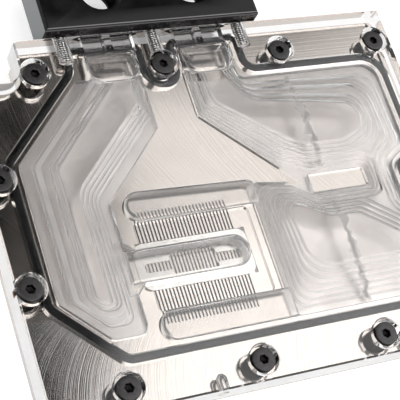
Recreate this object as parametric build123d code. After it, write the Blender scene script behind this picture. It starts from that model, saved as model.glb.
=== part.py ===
from build123d import *
from math import acos, cos, hypot, tan
import os

# Full-cover water block for a graphics card. A clear cast top with stepped flow chambers is
# screwed down on a nickel-plated copper plate. The plate carries the micro-channels over the
# processor, and a black terminal with two through ports is bolted to the top's back edge.
#
# Millimetres. The origin is the centre of the processor contact face, +Z points from the
# processor through the plate to the clear top, and +Y points to the terminal.

# Plate and top
contact_step = 1.5          # how far the processor pad stands below the plate's underside
plate_body = 5.5
top_thickness = 8.0
left_edge = -55.3
right_edge = 89.3
front_edge = -39.9
back_edge = 73.2
shoulder_drop = 13.3        # from the back edge to the left shoulder beside the terminal tab
tab_start = 18.9            # from the left edge to the terminal tab
outer_corner = 1.2
shoulder_fillet = 5.0
plate_inset = 1.0
plate_back_inset = 2.0
top_chamfer = 0.5
plate_chamfer = 0.35
plate_face = contact_step + plate_body
top_face = plate_face + top_thickness
tab_edge = left_edge + tab_start
shoulder_edge = back_edge - shoulder_drop

# Screws that hold the top, M4 with a low head
centre_x = 8.1
screw_pitch = 40.4
corner_screw_margin = 5.8
left_screw_margin = 4.3
front_screw_margin = 6.2
back_screw_margin = 11.0
centre_screw_margin = 11.8
right_screw_y = 14.0
left_screw_ys = (30.4, -2.1)
screw_size = 4.0
screw_length = 8.0
head_diameter = 7.0
head_height = 2.8
head_drop = 0.5             # head top below the top's upper face
hex_size = 2.5
hex_depth = 1.7
shank_clearance = 0.2       # on the radius
bore_clearance = 0.9        # round the head, on the radius
thread_spare = 1.0          # blind hole beyond a screw's tip
screw_seat = top_face - head_drop - head_height
corner_screw_x = right_edge - corner_screw_margin
left_screw_x = left_edge + left_screw_margin
front_row = front_edge + front_screw_margin
back_row = back_edge - back_screw_margin
centre_row = back_edge - centre_screw_margin

# Seal between plate and top, given by its middle line
seal_width = 2.5
seal_height = 1.8
groove_clearance = 0.1
seal_back_margin = 3.1
seal_left_margin = 9.0
seal_front_margin = 14.6
seal_right_margin = 4.4
seal_neck_x = -19.6
seal_neck_bend = (-20.6, 62.9)
seal_left_top = 36.5
seal_left_low = -7.2
seal_front_bend_x = -28.7
seal_shelf_margin = 14.95   # the run in front of the two right-hand back screws
seal_shelf_x = 36.2
loop_reach = 5.3            # seal round the centre screw
loop_round = 5.2
jog_depth = 7.9             # seal round the right-hand screw
jog_half = 5.0
jog_slope = 5.0
seal_corner = 8.0
seal_bend = 4.0
seal_tight = 2.5
seal_back = back_edge - seal_back_margin
seal_left = left_edge + seal_left_margin
seal_front = front_edge + seal_front_margin
seal_right = right_edge - seal_right_margin
seal_shelf = back_edge - seal_shelf_margin
jog_x = seal_right - jog_depth

# Flow chambers in the top's underside
chamber_wall = 2.6          # from the seal's middle line to a chamber
first_depth = 1.6
left_levels = 6
left_rise = 0.6             # from one level of the left chamber to the next
right_levels = 8
right_rise = 0.5
corridor_levels = 4         # levels that run right round the island
level_round = 0.8           # what a corner's radius gains from level to level
chamber_corner = 3.0
sharp_corner = 1.0

# Left chamber: corners beside the land, and the width of each edge's terraces
left_mouth_x = (-19.8, 1.3)
left_land_back = 41.9
left_land_front = 20.4
left_chamber_right = -20.3
left_chamber_front = -19.2
left_chamber_foot = -31.0
left_end_margin = 1.1
left_widths = (0.0, 1.9, 1.9, 1.2, 1.9, 1.7, 1.7, 1.0)

# Right chamber: corners beside the land, and how far the terraces run from the walls
island = (44.2, 14.3, 63.9, 20.2)
land_back = (15.4, 44.5)
land_tip = (36.0, 23.9)
land_notch = (36.5, 18.9)
core_side = (23.6, 20.6)
mouth_right = 33.0
wall_run = 13.3
front_run = 12.2
shelf_run = 13.65
jog_run = (6.6, 6.1)
jog_back_run = 7.0
jog_margin = 1.4
island_run = (7.6, 8.4)
island_end_run = 2.0
land_back_run = (5.1, 2.5)
land_tip_run = (4.0, 8.1)
land_notch_run = (3.0, -9.4)
core_side_run = (8.4, -8.1)
front_corner_run = 9.9
mouth_runs = (4.1, -6.0)
shelf_end_run = (-2.0, -8.15)
back_meet = (74.0, 60.0)    # where the back basin ends beside the island, at the wall and at its deepest
front_meet = (67.4, 55.0)
gap_lap = 0.4               # how far the saddle beside the island runs into the chamber

# Jet pocket and outlets over the micro-channels
jet_pocket_depth = 3.6
jet_half = 5.0
jet_end = 16.9
flare_width = 3.0
pocket_overlap = 4.0        # how far pockets run into the chambers beside them
outlet_depth = 2.6
outlet_inner = 13.6
back_outlet_outer = 22.8
back_outlet_narrow = 21.4
front_outlet_outer = 22.7
outlet_left = -16.7
outlet_corner = 4.4

# Pockets below the ports
pocket_depth = 6.2
pocket_front_margin = 15.7
pocket_back_margin = 5.2
pocket_inner = 7.8          # from the port's middle towards the centre
pocket_outer = 8.8
pocket_front_corner = 4.5
pocket_back_corner = 1.5
throat_depth = 4.4
throat_sides = (5.0, 4.0)   # to the left and right of the port's middle
throat_length = 12.0
mouth_lap = 2.5             # how far chambers and throats run into the pockets
pocket_front = back_edge - pocket_front_margin
pocket_back = back_edge - pocket_back_margin

# Micro-channels and jet plate
channel_count = 28
channel_pitch = 1.09
channel_width = 0.5
channel_floor = 3.0         # above the contact face
channel_half_length = 17.0
recess_left = -15.6
recess_right = 21.2
recess_half_y = 13.6
recess_depth = 1.0
recess_corner = 1.0
jet_plate_half_x = 17.7
jet_plate_half_y = 7.1
jet_plate_corner = 3.0
jet_slot_half = (15.2, 1.4)
jet_window_half = (7.3, 3.2)
jet_slot_corner = 0.6
land_gap = 0.15             # between the top's lands and the recess or jet plate
land_lift = 0.05            # between the lands and the channel tops

# Terminal
terminal_length = 70.4
terminal_depth = 25.0
terminal_height = 12.0
terminal_chamfer = 0.8
port_offset = 15.0          # port's middle from the centre
port_thread = 13.16
port_chamfer = 0.6
window_floor = 2.9          # above the plate's face
window_height = 2.6
window_outer = 8.2          # from the port's middle
window_post = 1.1
passage_depth = 7.8
terminal_screw_pitch = 29.4
terminal_screw_rise = 4.8   # above the plate's face
terminal_screw_length = 25.0
terminal_grip = 7.0         # thread in the top's back edge
terminal_head_diameter = 7.0
terminal_head_height = 4.0
terminal_head_clearance = 0.15
terminal_hex = 3.0
port_seal_cord = 1.6
port_seal_depth = 1.2
port_seal_half_x = 9.5
port_seal_half_z = 2.6
port_seal_corner = 2.2
port_y = back_edge + terminal_depth / 2
window_bottom = plate_face + window_floor
terminal_screw_z = plate_face + terminal_screw_rise
terminal_tip = back_edge - terminal_grip
terminal_seat = terminal_tip + terminal_screw_length

# Light holes in the front edge
light_hole = 3.2
light_depth = 5.2
light_xs = (-5.2, 56.0)

# Underside of the plate
core_pad = 34.0
pad_corner = 2.0
memory_step = 0.9           # how far the memory and power pads stand below the underside
memory_width = 12.0
memory_length = 42.0
memory_offset = 31.0
power_x = 62.0
power_y = 12.0
power_width = 13.0
power_length = 78.0
choke_x = 44.0
choke_width = 6.5
choke_length = 60.0
core_bolt_half = 29.2
standoff_flats = 5.5
standoff_height = 4.0
standoff_thread = 2.5
board_bolts = ((-48.5, 49.5), (-44.0, -33.5), (66.0, -33.5), (66.0, 63.5))

# Drawing aids
overrun = 1.0               # how far a cutter stands out of the face it enters
shortest = 0.01             # straight left between two corners at the least
straight = 0.001            # sine below which a corner doesn't turn
least_arc = 1.3             # smaller corners are drawn as one flat
thread_sides = 12           # threaded stretches and their holes are drawn as prisms
standing = (Align.CENTER, Align.CENTER, Align.MIN)
hanging = (Align.CENTER, Align.CENTER, Align.MAX)


def corner_turn(before, here, after):
    """Sine and angle of the turn at a corner, and the lengths of the two edges that meet there."""
    ax, ay = here[0] - before[0], here[1] - before[1]
    bx, by = after[0] - here[0], after[1] - here[1]
    la, lb = hypot(ax, ay), hypot(bx, by)
    cross = (ax * by - ay * bx) / (la * lb)
    dot = max(-1.0, min(1.0, (ax * bx + ay * by) / (la * lb)))
    return cross, acos(dot), la, lb


def corner_arc(before, here, after):
    """Start, middle and end of the arc that rounds a corner; the middle is None at a sharp one."""
    cross, angle, la, lb = corner_turn(before, here, after)
    reach = min(here[2] * tan(angle / 2), min(la, lb) / 2 - shortest)
    point = (here[0], here[1])
    if reach < shortest or abs(cross) < straight:
        return point, None, point
    radius = reach / tan(angle / 2)
    start = tuple(here[k] + (before[k] - here[k]) / la * reach for k in (0, 1))
    end = tuple(here[k] + (after[k] - here[k]) / lb * reach for k in (0, 1))
    chord = ((start[0] + end[0]) / 2, (start[1] + end[1]) / 2)
    gap = hypot(here[0] - chord[0], here[1] - chord[1])
    sagitta = radius * (1 - cos(angle / 2))
    middle = tuple(chord[k] + (here[k] - chord[k]) / gap * sagitta for k in (0, 1))
    return start, middle, end


def rounded_face(corners, arcs=True):
    """Face of a polygon whose corners are (x, y, radius), rounded by arcs or cut off by flats."""
    count = len(corners)
    turns = [corner_arc(corners[i - 1], here, corners[(i + 1) % count]) for i, here in enumerate(corners)]
    edges = []
    for i, (start, middle, end) in enumerate(turns):
        if middle is not None:
            arc = arcs and corners[i][2] >= least_arc
            edges.append(ThreePointArc(start, middle, end) if arc else Line(start, end))
        following = turns[(i + 1) % count][0]
        if hypot(following[0] - end[0], following[1] - end[1]) > straight:
            edges.append(Line(end, following))
    return make_face(Curve() + edges)


def inset(corners, steps):
    """Corners of a counter-clockwise polygon with edge i moved inwards by steps[i]."""
    count = len(corners)
    lines = []
    for i in range(count):
        (x0, y0), (x1, y1) = corners[i][:2], corners[(i + 1) % count][:2]
        length = hypot(x1 - x0, y1 - y0)
        dx, dy = (x1 - x0) / length, (y1 - y0) / length
        lines.append((x0 - dy * steps[i], y0 + dx * steps[i], dx, dy))
    moved = []
    for i in range(count):
        ax, ay, adx, ady = lines[i - 1]
        bx, by, bdx, bdy = lines[i]
        cross = adx * bdy - ady * bdx
        radius = corners[i][2]
        if abs(cross) < straight:
            moved.append((bx, by, radius))
            continue
        along = ((bx - ax) * bdy - (by - ay) * bdx) / cross
        if cross < 0:
            radius += max(steps[i], steps[i - 1])
        moved.append((ax + adx * along, ay + ady * along, radius))
    return moved


def even_inset(corners, distance):
    """Corners moved inwards by one distance, with the arcs kept concentric."""
    moved = inset(corners, [distance] * len(corners))
    count = len(corners)
    out = []
    for i, (x, y, _) in enumerate(moved):
        cross = corner_turn(corners[i - 1], corners[i], corners[(i + 1) % count])[0]
        radius = corners[i][2] - distance if cross > 0 else corners[i][2] + distance
        out.append((x, y, max(radius, 0.0)))
    return out


def slab(corners, bottom, height, arcs=True):
    """Solid of a rounded polygon from its bottom level upwards."""
    return Pos(0, 0, bottom) * extrude(rounded_face(corners, arcs), height)


def along_y(x, y, shape):
    """An upright shape turned to point along +Y on the line of the terminal's screws."""
    return Pos(x, y, terminal_screw_z) * Rot(-90, 0, 0) * shape


def rectangle_corners(x0, y0, x1, y1, radius=0.0):
    """Counter-clockwise corners of a rectangle."""
    return [(x0, y0, radius), (x1, y0, radius), (x1, y1, radius), (x0, y1, radius)]


def centred_corners(x, y, width, length, radius=0.0):
    """Corners of a rectangle round its middle."""
    return rectangle_corners(x - width / 2, y - length / 2, x + width / 2, y + length / 2, radius)


def rod(x, y, z, diameter, height):
    """Upright cylinder that starts at z."""
    return Pos(x, y, z) * Cylinder(diameter / 2, height, align=standing)


def rod_y(x, y, z, diameter, length):
    """Cylinder along +Y that starts at y."""
    return Pos(x, y, z) * Rot(-90, 0, 0) * Cylinder(diameter / 2, length, align=standing)


def prism(diameter, length):
    """Upright prism that stands for a threaded stretch, starting at z = 0."""
    return extrude(RegularPolygon(diameter / 2, thread_sides), length)


def cover_screw_points():
    """Places of the screws that hold the top."""
    row = [centre_x - screw_pitch, centre_x, centre_x + screw_pitch, corner_screw_x]
    points = [(x, centre_row if x == centre_x else back_row) for x in row]
    points += [(x, front_row) for x in row]
    points += [(left_screw_x, y) for y in left_screw_ys]
    return points + [(corner_screw_x, right_screw_y)]


def port_points():
    """Middles of the two ports and the side of the centre that each is on."""
    return [(centre_x + side * port_offset, side) for side in (-1, 1)]


def terminal_screw_xs():
    """Places along X of the terminal's three screws."""
    return [centre_x + i * terminal_screw_pitch for i in (-1, 0, 1)]


def standoff_points():
    """Places of the four standoffs round the processor."""
    return [(i * core_bolt_half, j * core_bolt_half) for i in (-1, 1) for j in (-1, 1)]


def top_corners():
    """Outline of the clear top."""
    return [
        (left_edge, front_edge, outer_corner),
        (right_edge, front_edge, outer_corner),
        (right_edge, back_edge, outer_corner),
        (tab_edge, back_edge, outer_corner),
        (tab_edge, shoulder_edge, shoulder_fillet),
        (left_edge, shoulder_edge, outer_corner),
    ]


def seal_corners():
    """Middle line of the main seal, counter-clockwise from the back left."""
    return [
        (seal_neck_x, seal_back, seal_tight),
        (*seal_neck_bend, seal_bend),
        (seal_left, seal_left_top, seal_bend),
        (seal_left, seal_left_low, seal_bend),
        (seal_front_bend_x, seal_front, seal_bend),
        (seal_right, seal_front, seal_corner),
        (seal_right, right_screw_y - jog_half - jog_slope, seal_bend),
        (jog_x, right_screw_y - jog_half, seal_bend),
        (jog_x, right_screw_y + jog_half, seal_bend),
        (seal_right, right_screw_y + jog_half + jog_slope, seal_bend),
        (seal_right, seal_shelf, seal_corner),
        (seal_shelf_x, seal_shelf, seal_bend),
        (seal_shelf_x, seal_back, seal_tight),
        (centre_x + loop_reach, seal_back, seal_tight),
        (centre_x + loop_reach, centre_row - loop_reach, loop_round),
        (centre_x - loop_reach, centre_row - loop_reach, loop_round),
        (centre_x - loop_reach, seal_back, seal_tight),
    ]


def seal_band(half_width, height):
    """Flat band along the seal's middle line, standing on the plate."""
    outer = rounded_face(even_inset(seal_corners(), -half_width))
    inner = rounded_face(even_inset(seal_corners(), half_width))
    return Pos(0, 0, plate_face) * extrude(outer - inner, height)


def left_chamber_shapes():
    """Levels of the chamber from the left port to the jet pocket."""
    mouth = pocket_front + mouth_lap
    wall = seal_left + chamber_wall
    corners = [
        (left_mouth_x[1], mouth, 0.0),
        (left_mouth_x[0], mouth, 0.0),
        (wall, seal_left_top - left_end_margin, chamber_corner),
        (wall, seal_left_low + left_end_margin, chamber_corner),
        (left_chamber_foot, left_chamber_front, chamber_corner),
        (left_chamber_right, left_chamber_front, chamber_corner),
        (left_chamber_right, left_land_front, sharp_corner),
        (left_mouth_x[1], left_land_back, sharp_corner),
    ]
    return [inset(corners, [level * width for width in left_widths]) for level in range(left_levels)]


def right_chamber_edges():
    """C-shaped chamber round the island: each corner at the wall and its run to the deepest level."""
    x0, y0, x1, y1 = island
    edge = seal_right - chamber_wall
    jog = jog_x - chamber_wall
    front = seal_front + chamber_wall
    shelf = seal_shelf - chamber_wall
    mouth = pocket_front + mouth_lap
    low = right_screw_y - jog_half - jog_margin
    high = right_screw_y + jog_half + jog_margin
    outer_corner_radius = seal_corner - chamber_wall
    return [
        ((mouth_right, mouth, 0.0), (mouth_runs[1], 0.0)),
        ((land_back[0], mouth, 0.0), (mouth_runs[0], 0.0)),
        ((*land_back, sharp_corner), land_back_run),
        ((*land_tip, 0.0), land_tip_run),
        ((x0, y1, 0.0), (island_end_run, island_run[1])),
        ((x1, y1, sharp_corner), island_run),
        ((x1, y0, sharp_corner), (island_run[0], -island_run[1])),
        ((x0, y0, 0.0), (island_end_run, -island_run[1])),
        ((*land_notch, 0.0), land_notch_run),
        ((*core_side, chamber_corner), core_side_run),
        ((core_side[0], front, chamber_corner), (front_corner_run, front_run)),
        ((edge, front, outer_corner_radius), (-wall_run, front_run)),
        ((edge, low - jog_slope, seal_bend), (-wall_run, -jog_run[0])),
        ((jog, low, seal_bend), (-wall_run, -jog_run[1])),
        ((jog, high, seal_bend), (-wall_run, jog_run[1])),
        ((edge, high + jog_slope, seal_bend), (-wall_run, jog_back_run)),
        ((edge, shelf, outer_corner_radius), (-wall_run, -shelf_run)),
        ((mouth_right, shelf, seal_bend + chamber_wall), shelf_end_run),
    ]


def blended(edges, level):
    """Corners of one level between the walls and the deepest level."""
    part = level / (right_levels - 1)
    return [
        (x + run_x * part, y + run_y * part, radius + level * level_round if radius else 0.0)
        for (x, y, radius), (run_x, run_y) in edges
    ]


def right_chamber_shapes():
    """Levels of the right-hand chamber: rings round the island, then a basin on each side of it."""
    edges = right_chamber_edges()
    back_end = ((back_meet[0], island[3], sharp_corner), (back_meet[1] - back_meet[0], island_run[1]))
    front_end = ((front_meet[0], island[1], sharp_corner), (front_meet[1] - front_meet[0], -island_run[1]))
    back_basin = edges[:5] + [back_end] + edges[15:]
    front_basin = edges[7:13] + [front_end]
    shapes = [(level, blended(edges, level)) for level in range(corridor_levels)]
    for basin in (back_basin, front_basin):
        shapes += [(level, blended(basin, level)) for level in range(corridor_levels, right_levels)]
    return shapes


def island_gap():
    """Shallow saddle that parts the island from the tip of the land."""
    x0, y0, _, y1 = island
    return [
        (land_tip[0], land_tip[1] + gap_lap, 0.0),
        (x0, y1 + gap_lap, 0.0),
        (x0, y0 - gap_lap, 0.0),
        (land_notch[0], land_notch[1] - gap_lap, 0.0),
    ]


def jet_pocket():
    """Slot from the left chamber to over the jet plate, with its flared entry."""
    entry = left_chamber_right
    slot = [
        (entry - pocket_overlap, -jet_half, 0.0),
        (jet_end, -jet_half, jet_half),
        (jet_end, jet_half, jet_half),
        (entry - pocket_overlap, jet_half, 0.0),
    ]
    flare = [
        (entry - flare_width, -jet_half - flare_width, 0.0),
        (entry, -jet_half - flare_width, 0.0),
        (entry + flare_width, -jet_half, 0.0),
        (entry + flare_width, jet_half, 0.0),
        (entry, jet_half + flare_width, 0.0),
        (entry - flare_width, jet_half + flare_width, 0.0),
    ]
    return slab(slot, plate_face, jet_pocket_depth) + slab(flare, plate_face, first_depth + left_rise)


def outlet_pockets():
    """The two slots that collect the coolant at the ends of the channels."""
    right = core_side[0] + pocket_overlap
    back = [
        (outlet_left, outlet_inner, outlet_corner),
        (right, outlet_inner, 0.0),
        (right, core_side[1], 0.0),
        (core_side[0], back_outlet_narrow, chamber_corner),
        (outlet_left, back_outlet_outer, outlet_corner),
    ]
    front = [
        (outlet_left, -front_outlet_outer, outlet_corner),
        (right, -front_outlet_outer, 0.0),
        (right, -outlet_inner, 0.0),
        (outlet_left, -outlet_inner, outlet_corner),
    ]
    return slab(back, plate_face, outlet_depth) + slab(front, plate_face, outlet_depth)


def chamber_cut():
    """Everything that is milled out of the top's underside for the coolant."""
    cut = jet_pocket() + outlet_pockets()
    for level, corners in enumerate(left_chamber_shapes()):
        cut += slab(corners, plate_face, first_depth + level * left_rise, arcs=level == 0)
    for level, corners in right_chamber_shapes():
        cut += slab(corners, plate_face, first_depth + level * right_rise, arcs=level == 0)
    return cut + slab(island_gap(), plate_face, first_depth)


def window_spans(x):
    """The two windows beside the post in front of a port, as pairs of x."""
    return [sorted((x + hand * window_post, x + hand * window_outer)) for hand in (-1, 1)]


def port_cut():
    """Deep pockets below the ports and their windows through the back edge."""
    cut = None
    for x, side in port_points():
        low = x - (pocket_inner if side > 0 else pocket_outer)
        high = x + (pocket_outer if side > 0 else pocket_inner)
        pocket = [
            (low, pocket_front, pocket_front_corner),
            (high, pocket_front, pocket_front_corner),
            (high, pocket_back, pocket_back_corner),
            (low, pocket_back, pocket_back_corner),
        ]
        throat = rectangle_corners(x - throat_sides[0], pocket_front - throat_length,
                                   x + throat_sides[1], pocket_front + pocket_overlap, chamber_corner)
        piece = slab(pocket, plate_face, pocket_depth) + slab(throat, plate_face, throat_depth)
        for inner, outer in window_spans(x):
            window = rectangle_corners(inner, pocket_back - overrun, outer, back_edge + overrun)
            piece += slab(window, window_bottom, window_height)
        cut = piece if cut is None else cut + piece
    return cut


def jet_seat():
    """Seat of the jet plate in the recess, as x and y from corner to corner."""
    x = jet_plate_half_x + land_gap
    y = jet_plate_half_y + land_gap
    return -x, -y, x, y


def recess_lands():
    """Land of the top that reaches down into the recess and closes the channels beside the jets."""
    drop = recess_depth - land_lift
    x0, y0, x1, y1 = jet_seat()
    y = recess_half_y - land_gap
    land = rectangle_corners(recess_left + land_gap, -y, recess_right - land_gap, y, recess_corner)
    seat = rectangle_corners(x0, y0, x1, y1)
    return slab(land, plate_face - drop, drop) - slab(seat, plate_face - drop - overrun, drop + overrun)


def clear_top():
    """Clear cast top with its chambers, seal groove and screw holes."""
    body = slab(top_corners(), plate_face, top_thickness)
    body = chamfer(body.faces().sort_by(Axis.Z)[-1].edges(), top_chamfer)
    body -= chamber_cut()
    body -= port_cut()
    body -= seal_band(seal_width / 2 + groove_clearance, seal_height)
    for x, y in cover_screw_points():
        body -= Pos(x, y, plate_face - overrun) * prism(screw_size + 2 * shank_clearance, top_thickness)
        body -= rod(x, y, screw_seat, head_diameter + 2 * bore_clearance, top_thickness)
    for x in terminal_screw_xs():
        body -= along_y(x, terminal_tip - thread_spare, prism(screw_size, terminal_screw_length))
    middle = plate_face + top_thickness / 2
    for x in light_xs:
        body -= rod_y(x, front_edge - overrun, middle, light_hole, light_depth + overrun)
    return body + recess_lands()


def underside_pads():
    """Raised pads below the plate for the processor, the memory and the power stages."""
    pads = slab(centred_corners(0, 0, core_pad, core_pad, pad_corner), 0, contact_step + overrun, arcs=False)
    banks = [
        (-memory_offset, 0, memory_width, memory_length),
        (memory_offset, 0, memory_width, memory_length),
        (0, memory_offset, memory_length, memory_width),
        (power_x, power_y, power_width, power_length),
        (choke_x, power_y, choke_width, choke_length),
    ]
    for bank in banks:
        corners = centred_corners(*bank, pad_corner)
        pads += slab(corners, contact_step - memory_step, memory_step + overrun, arcs=False)
    return pads


def cold_plate():
    """Nickel-plated copper plate with the micro-channels."""
    steps = [plate_inset, plate_inset, plate_back_inset, plate_inset, plate_inset, plate_inset]
    body = slab(inset(top_corners(), steps), contact_step, plate_body)
    body = chamfer(body.faces().sort_by(Axis.Z)[-1].edges(), plate_chamfer)
    body += underside_pads()
    bay = (recess_left, -recess_half_y, recess_right, recess_half_y)
    for x0, y0, x1, y1 in (bay, jet_seat()):
        seat = rectangle_corners(x0, y0, x1, y1, recess_corner)
        body -= slab(seat, plate_face - recess_depth, recess_depth + overrun)
    channel = Box(channel_width, 2 * channel_half_length, plate_face, align=standing)
    for i in range(channel_count):
        body -= Pos((i - (channel_count - 1) / 2) * channel_pitch, 0, channel_floor) * channel
    for x, y in cover_screw_points():
        body -= Pos(x, y, screw_seat - screw_length - thread_spare) * prism(screw_size, screw_length)
    return body


def jet_plate():
    """Thin plate on the channel tops with a cross-shaped slot."""
    base = plate_face - recess_depth
    outline = centred_corners(0, 0, 2 * jet_plate_half_x, 2 * jet_plate_half_y, jet_plate_corner)
    body = slab(outline, base, recess_depth)
    for half_x, half_y in (jet_slot_half, jet_window_half):
        slot = centred_corners(0, 0, 2 * half_x, 2 * half_y, jet_slot_corner)
        body -= slab(slot, base - overrun, recess_depth + 2 * overrun)
    return body


def main_seal():
    """Seal ring squeezed between its groove and the plate."""
    return seal_band(seal_width / 2, seal_height)


def socket_screw(length, head, head_size, socket):
    """M4 cap screw with its bearing face at z = 0 and its head above."""
    body = Cylinder(head_size / 2, head, align=standing) + Pos(0, 0, -length) * prism(screw_size, length)
    flats = extrude(RegularPolygon(socket / 2, 6, major_radius=False), hex_depth + overrun)
    return body - Pos(0, 0, head - hex_depth) * flats


def cover_screws():
    """Low-head screws that clamp the top on the plate."""
    screw = socket_screw(screw_length, head_height, head_diameter, hex_size)
    return Compound(children=[Pos(x, y, screw_seat) * screw for x, y in cover_screw_points()])


def terminal_screws():
    """Cap screws from the terminal's back into the top's back edge."""
    screw = socket_screw(terminal_screw_length, terminal_head_height, terminal_head_diameter, terminal_hex)
    return Compound(children=[along_y(x, terminal_seat, screw) for x in terminal_screw_xs()])


def port_seal(x, half_width):
    """Flat band round one pair of windows, standing back from the top's back edge."""
    middle = window_bottom + window_height / 2
    line = centred_corners(x, middle, 2 * port_seal_half_x, 2 * port_seal_half_z, port_seal_corner)
    outer = rounded_face(even_inset(line, -half_width), arcs=False)
    inner = rounded_face(even_inset(line, half_width), arcs=False)
    return Pos(0, back_edge, 0) * Rot(90, 0, 0) * extrude(outer - inner, -port_seal_depth)


def terminal_port(x):
    """Cutter of one through port with a chamfer at its upper end."""
    cut = rod(x, port_y, plate_face - overrun, port_thread, terminal_height + 2 * overrun)
    lead = Cone(port_thread / 2, port_thread / 2 + port_chamfer, port_chamfer, align=hanging)
    return cut + Pos(x, port_y, plate_face + terminal_height) * lead


def terminal_body():
    """Black terminal with two through ports and its inner passages."""
    middle_y = back_edge + terminal_depth / 2
    body = Pos(centre_x, middle_y, plate_face) * Box(
        terminal_length, terminal_depth, terminal_height, align=standing)
    levels = body.faces().sort_by(Axis.Z)
    body = chamfer(levels[0].edges() + levels[-1].edges(), terminal_chamfer)
    for x, _ in port_points():
        body -= terminal_port(x)
        for inner, outer in window_spans(x):
            passage = rectangle_corners(inner, back_edge - overrun, outer, back_edge + passage_depth)
            body -= slab(passage, window_bottom, window_height)
        body -= port_seal(x, port_seal_cord / 2 + groove_clearance)
    bore = terminal_head_diameter + 2 * terminal_head_clearance
    for x in terminal_screw_xs():
        body -= along_y(x, back_edge - overrun, prism(screw_size + 2 * shank_clearance, terminal_depth))
        body -= rod_y(x, terminal_seat, terminal_screw_z, bore, terminal_depth)
    return body


def standoff(x, y):
    """Six-sided standoff under the plate with a thread for the board's screw."""
    base = contact_step - standoff_height
    body = Pos(x, y, base) * extrude(RegularPolygon(standoff_flats / 2, 6, major_radius=False), standoff_height)
    return body - rod(x, y, base - overrun, standoff_thread, standoff_height + 2 * overrun)


def parts():
    """All sub-parts by node name."""
    left, right = (x for x, _ in port_points())
    return {
        "cold_plate": cold_plate(),
        "clear_top": clear_top(),
        "jet_plate": jet_plate(),
        "main_seal": main_seal(),
        "cover_screws": cover_screws(),
        "terminal_body": terminal_body(),
        "terminal_screws": terminal_screws(),
        "left_port_seal": port_seal(left, port_seal_cord / 2),
        "right_port_seal": port_seal(right, port_seal_cord / 2),
        "core_standoffs": Compound(children=[standoff(x, y) for x, y in standoff_points()]),
        "board_standoffs": Compound(children=[standoff(x, y) for x, y in board_bolts]),
    }


os.makedirs("parts", exist_ok=True)
for name, shape in parts().items():
    export_step(shape, f"parts/{name}.step")
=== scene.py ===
"""Dressed model of a full-cover water block with a clear top, in the frame of its solids."""
from __future__ import annotations

import logging
import math
from dataclasses import dataclass, field
from enum import Enum
from typing import Any, Callable, Sequence

import bmesh
import bpy
from mathutils import Matrix, Vector

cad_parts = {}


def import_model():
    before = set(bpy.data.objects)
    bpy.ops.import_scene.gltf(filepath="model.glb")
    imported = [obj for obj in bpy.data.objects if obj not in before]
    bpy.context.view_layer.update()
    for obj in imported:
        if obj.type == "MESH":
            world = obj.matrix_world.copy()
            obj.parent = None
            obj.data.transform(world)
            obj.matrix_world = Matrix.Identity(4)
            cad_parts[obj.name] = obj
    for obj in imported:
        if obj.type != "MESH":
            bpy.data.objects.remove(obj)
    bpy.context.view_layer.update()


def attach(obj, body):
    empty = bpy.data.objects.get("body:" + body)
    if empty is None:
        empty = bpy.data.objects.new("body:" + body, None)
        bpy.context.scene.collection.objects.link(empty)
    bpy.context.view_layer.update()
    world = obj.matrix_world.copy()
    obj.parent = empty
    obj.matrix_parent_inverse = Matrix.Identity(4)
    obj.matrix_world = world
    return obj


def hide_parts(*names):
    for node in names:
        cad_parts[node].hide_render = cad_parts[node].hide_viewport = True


log = logging.getLogger("water_block")

MM = 0.001
BODY = "root"
QUARTER = math.pi / 2
# How far a cutter reaches past the face that it starts from, in millimetres.
OVER = 1.0
# Arc segments of the larger rounds.
FINE = 12
# Sine of a turn below which two edges count as one line, when they are moved and when they are traced.
PARALLEL = 0.001
STRAIGHT = 0.02
# Least length of a round's leg and of the edge between two rounds, in millimetres.
LEG = 0.02
# Range that most values of a noise lie in.
NOISE = (0.3, 0.7)

Pair = tuple[float, float]
Corner = tuple[float, float, float]
Edge = tuple[float, float, float]
Colour = tuple[float, float, float, float]
Ring = list[Vector]


class Finish(Enum):
    """Finishes of the block, by the name of their material."""

    NICKEL = "nickel_plating"
    JET_STEEL = "jet_steel"
    POLISHED = "polished_acrylic"
    MILLED = "milled_acrylic"
    POCKET = "pocket_acrylic"
    BORED = "bored_acrylic"
    TAPPED = "tapped_acrylic"
    SAWN = "sawn_acrylic"
    SLOT = "slot_acrylic"
    SEAL = "seal_rubber"
    BLACK_OXIDE = "black_oxide"
    TERMINAL = "terminal_black"
    PLATED_BRASS = "plated_brass"
    PAPER = "studio_paper"


def operator(operation: str, swapped: bool = False) -> Callable[..., Term]:
    """Make a method of a term that adds a Math node.

    Args:
        operation: The node's operation.
        swapped: Whether the term is the second input.

    Returns:
        The method.
    """
    def method(term: Term, other: Any = 0.0) -> Term:
        """Add the node."""
        return term.graph.math(operation, *((other, term) if swapped else (term, other)))

    return method


class Term:
    """Output of a node, to reckon with."""

    def __init__(self, graph: Graph, socket: bpy.types.NodeSocket) -> None:
        """Keep the output and the graph that it is in."""
        self.graph = graph
        self.socket = socket

    __add__ = __radd__ = operator("ADD")
    __sub__ = operator("SUBTRACT")
    __rsub__ = operator("SUBTRACT", swapped=True)
    __mul__ = __rmul__ = operator("MULTIPLY")
    __truediv__ = operator("DIVIDE")
    __abs__ = operator("ABSOLUTE")
    __gt__ = operator("GREATER_THAN")
    __lt__ = operator("LESS_THAN")
    most = operator("MAXIMUM")
    root = operator("SQRT")
    fraction = operator("FRACT")

    def spread(self, low: float, high: float, to_low: Any = 0.0, to_high: Any = 1.0) -> Term:
        """Map the term softly from one range to another.

        Args:
            low: Start of its range.
            high: End of its range.
            to_low: Result at the start.
            to_high: Result at the end.

        Returns:
            The mapped term.
        """
        return self.graph.term("ShaderNodeMapRange", {0: self, 1: low, 2: high, 3: to_low, 4: to_high},
                               interpolation_type="SMOOTHSTEP", clamp=True)


def pick(sockets: Any, identifier: str) -> bpy.types.NodeSocket:
    """Find a socket by its identifier."""
    return next(socket for socket in sockets if socket.identifier == identifier)


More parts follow.
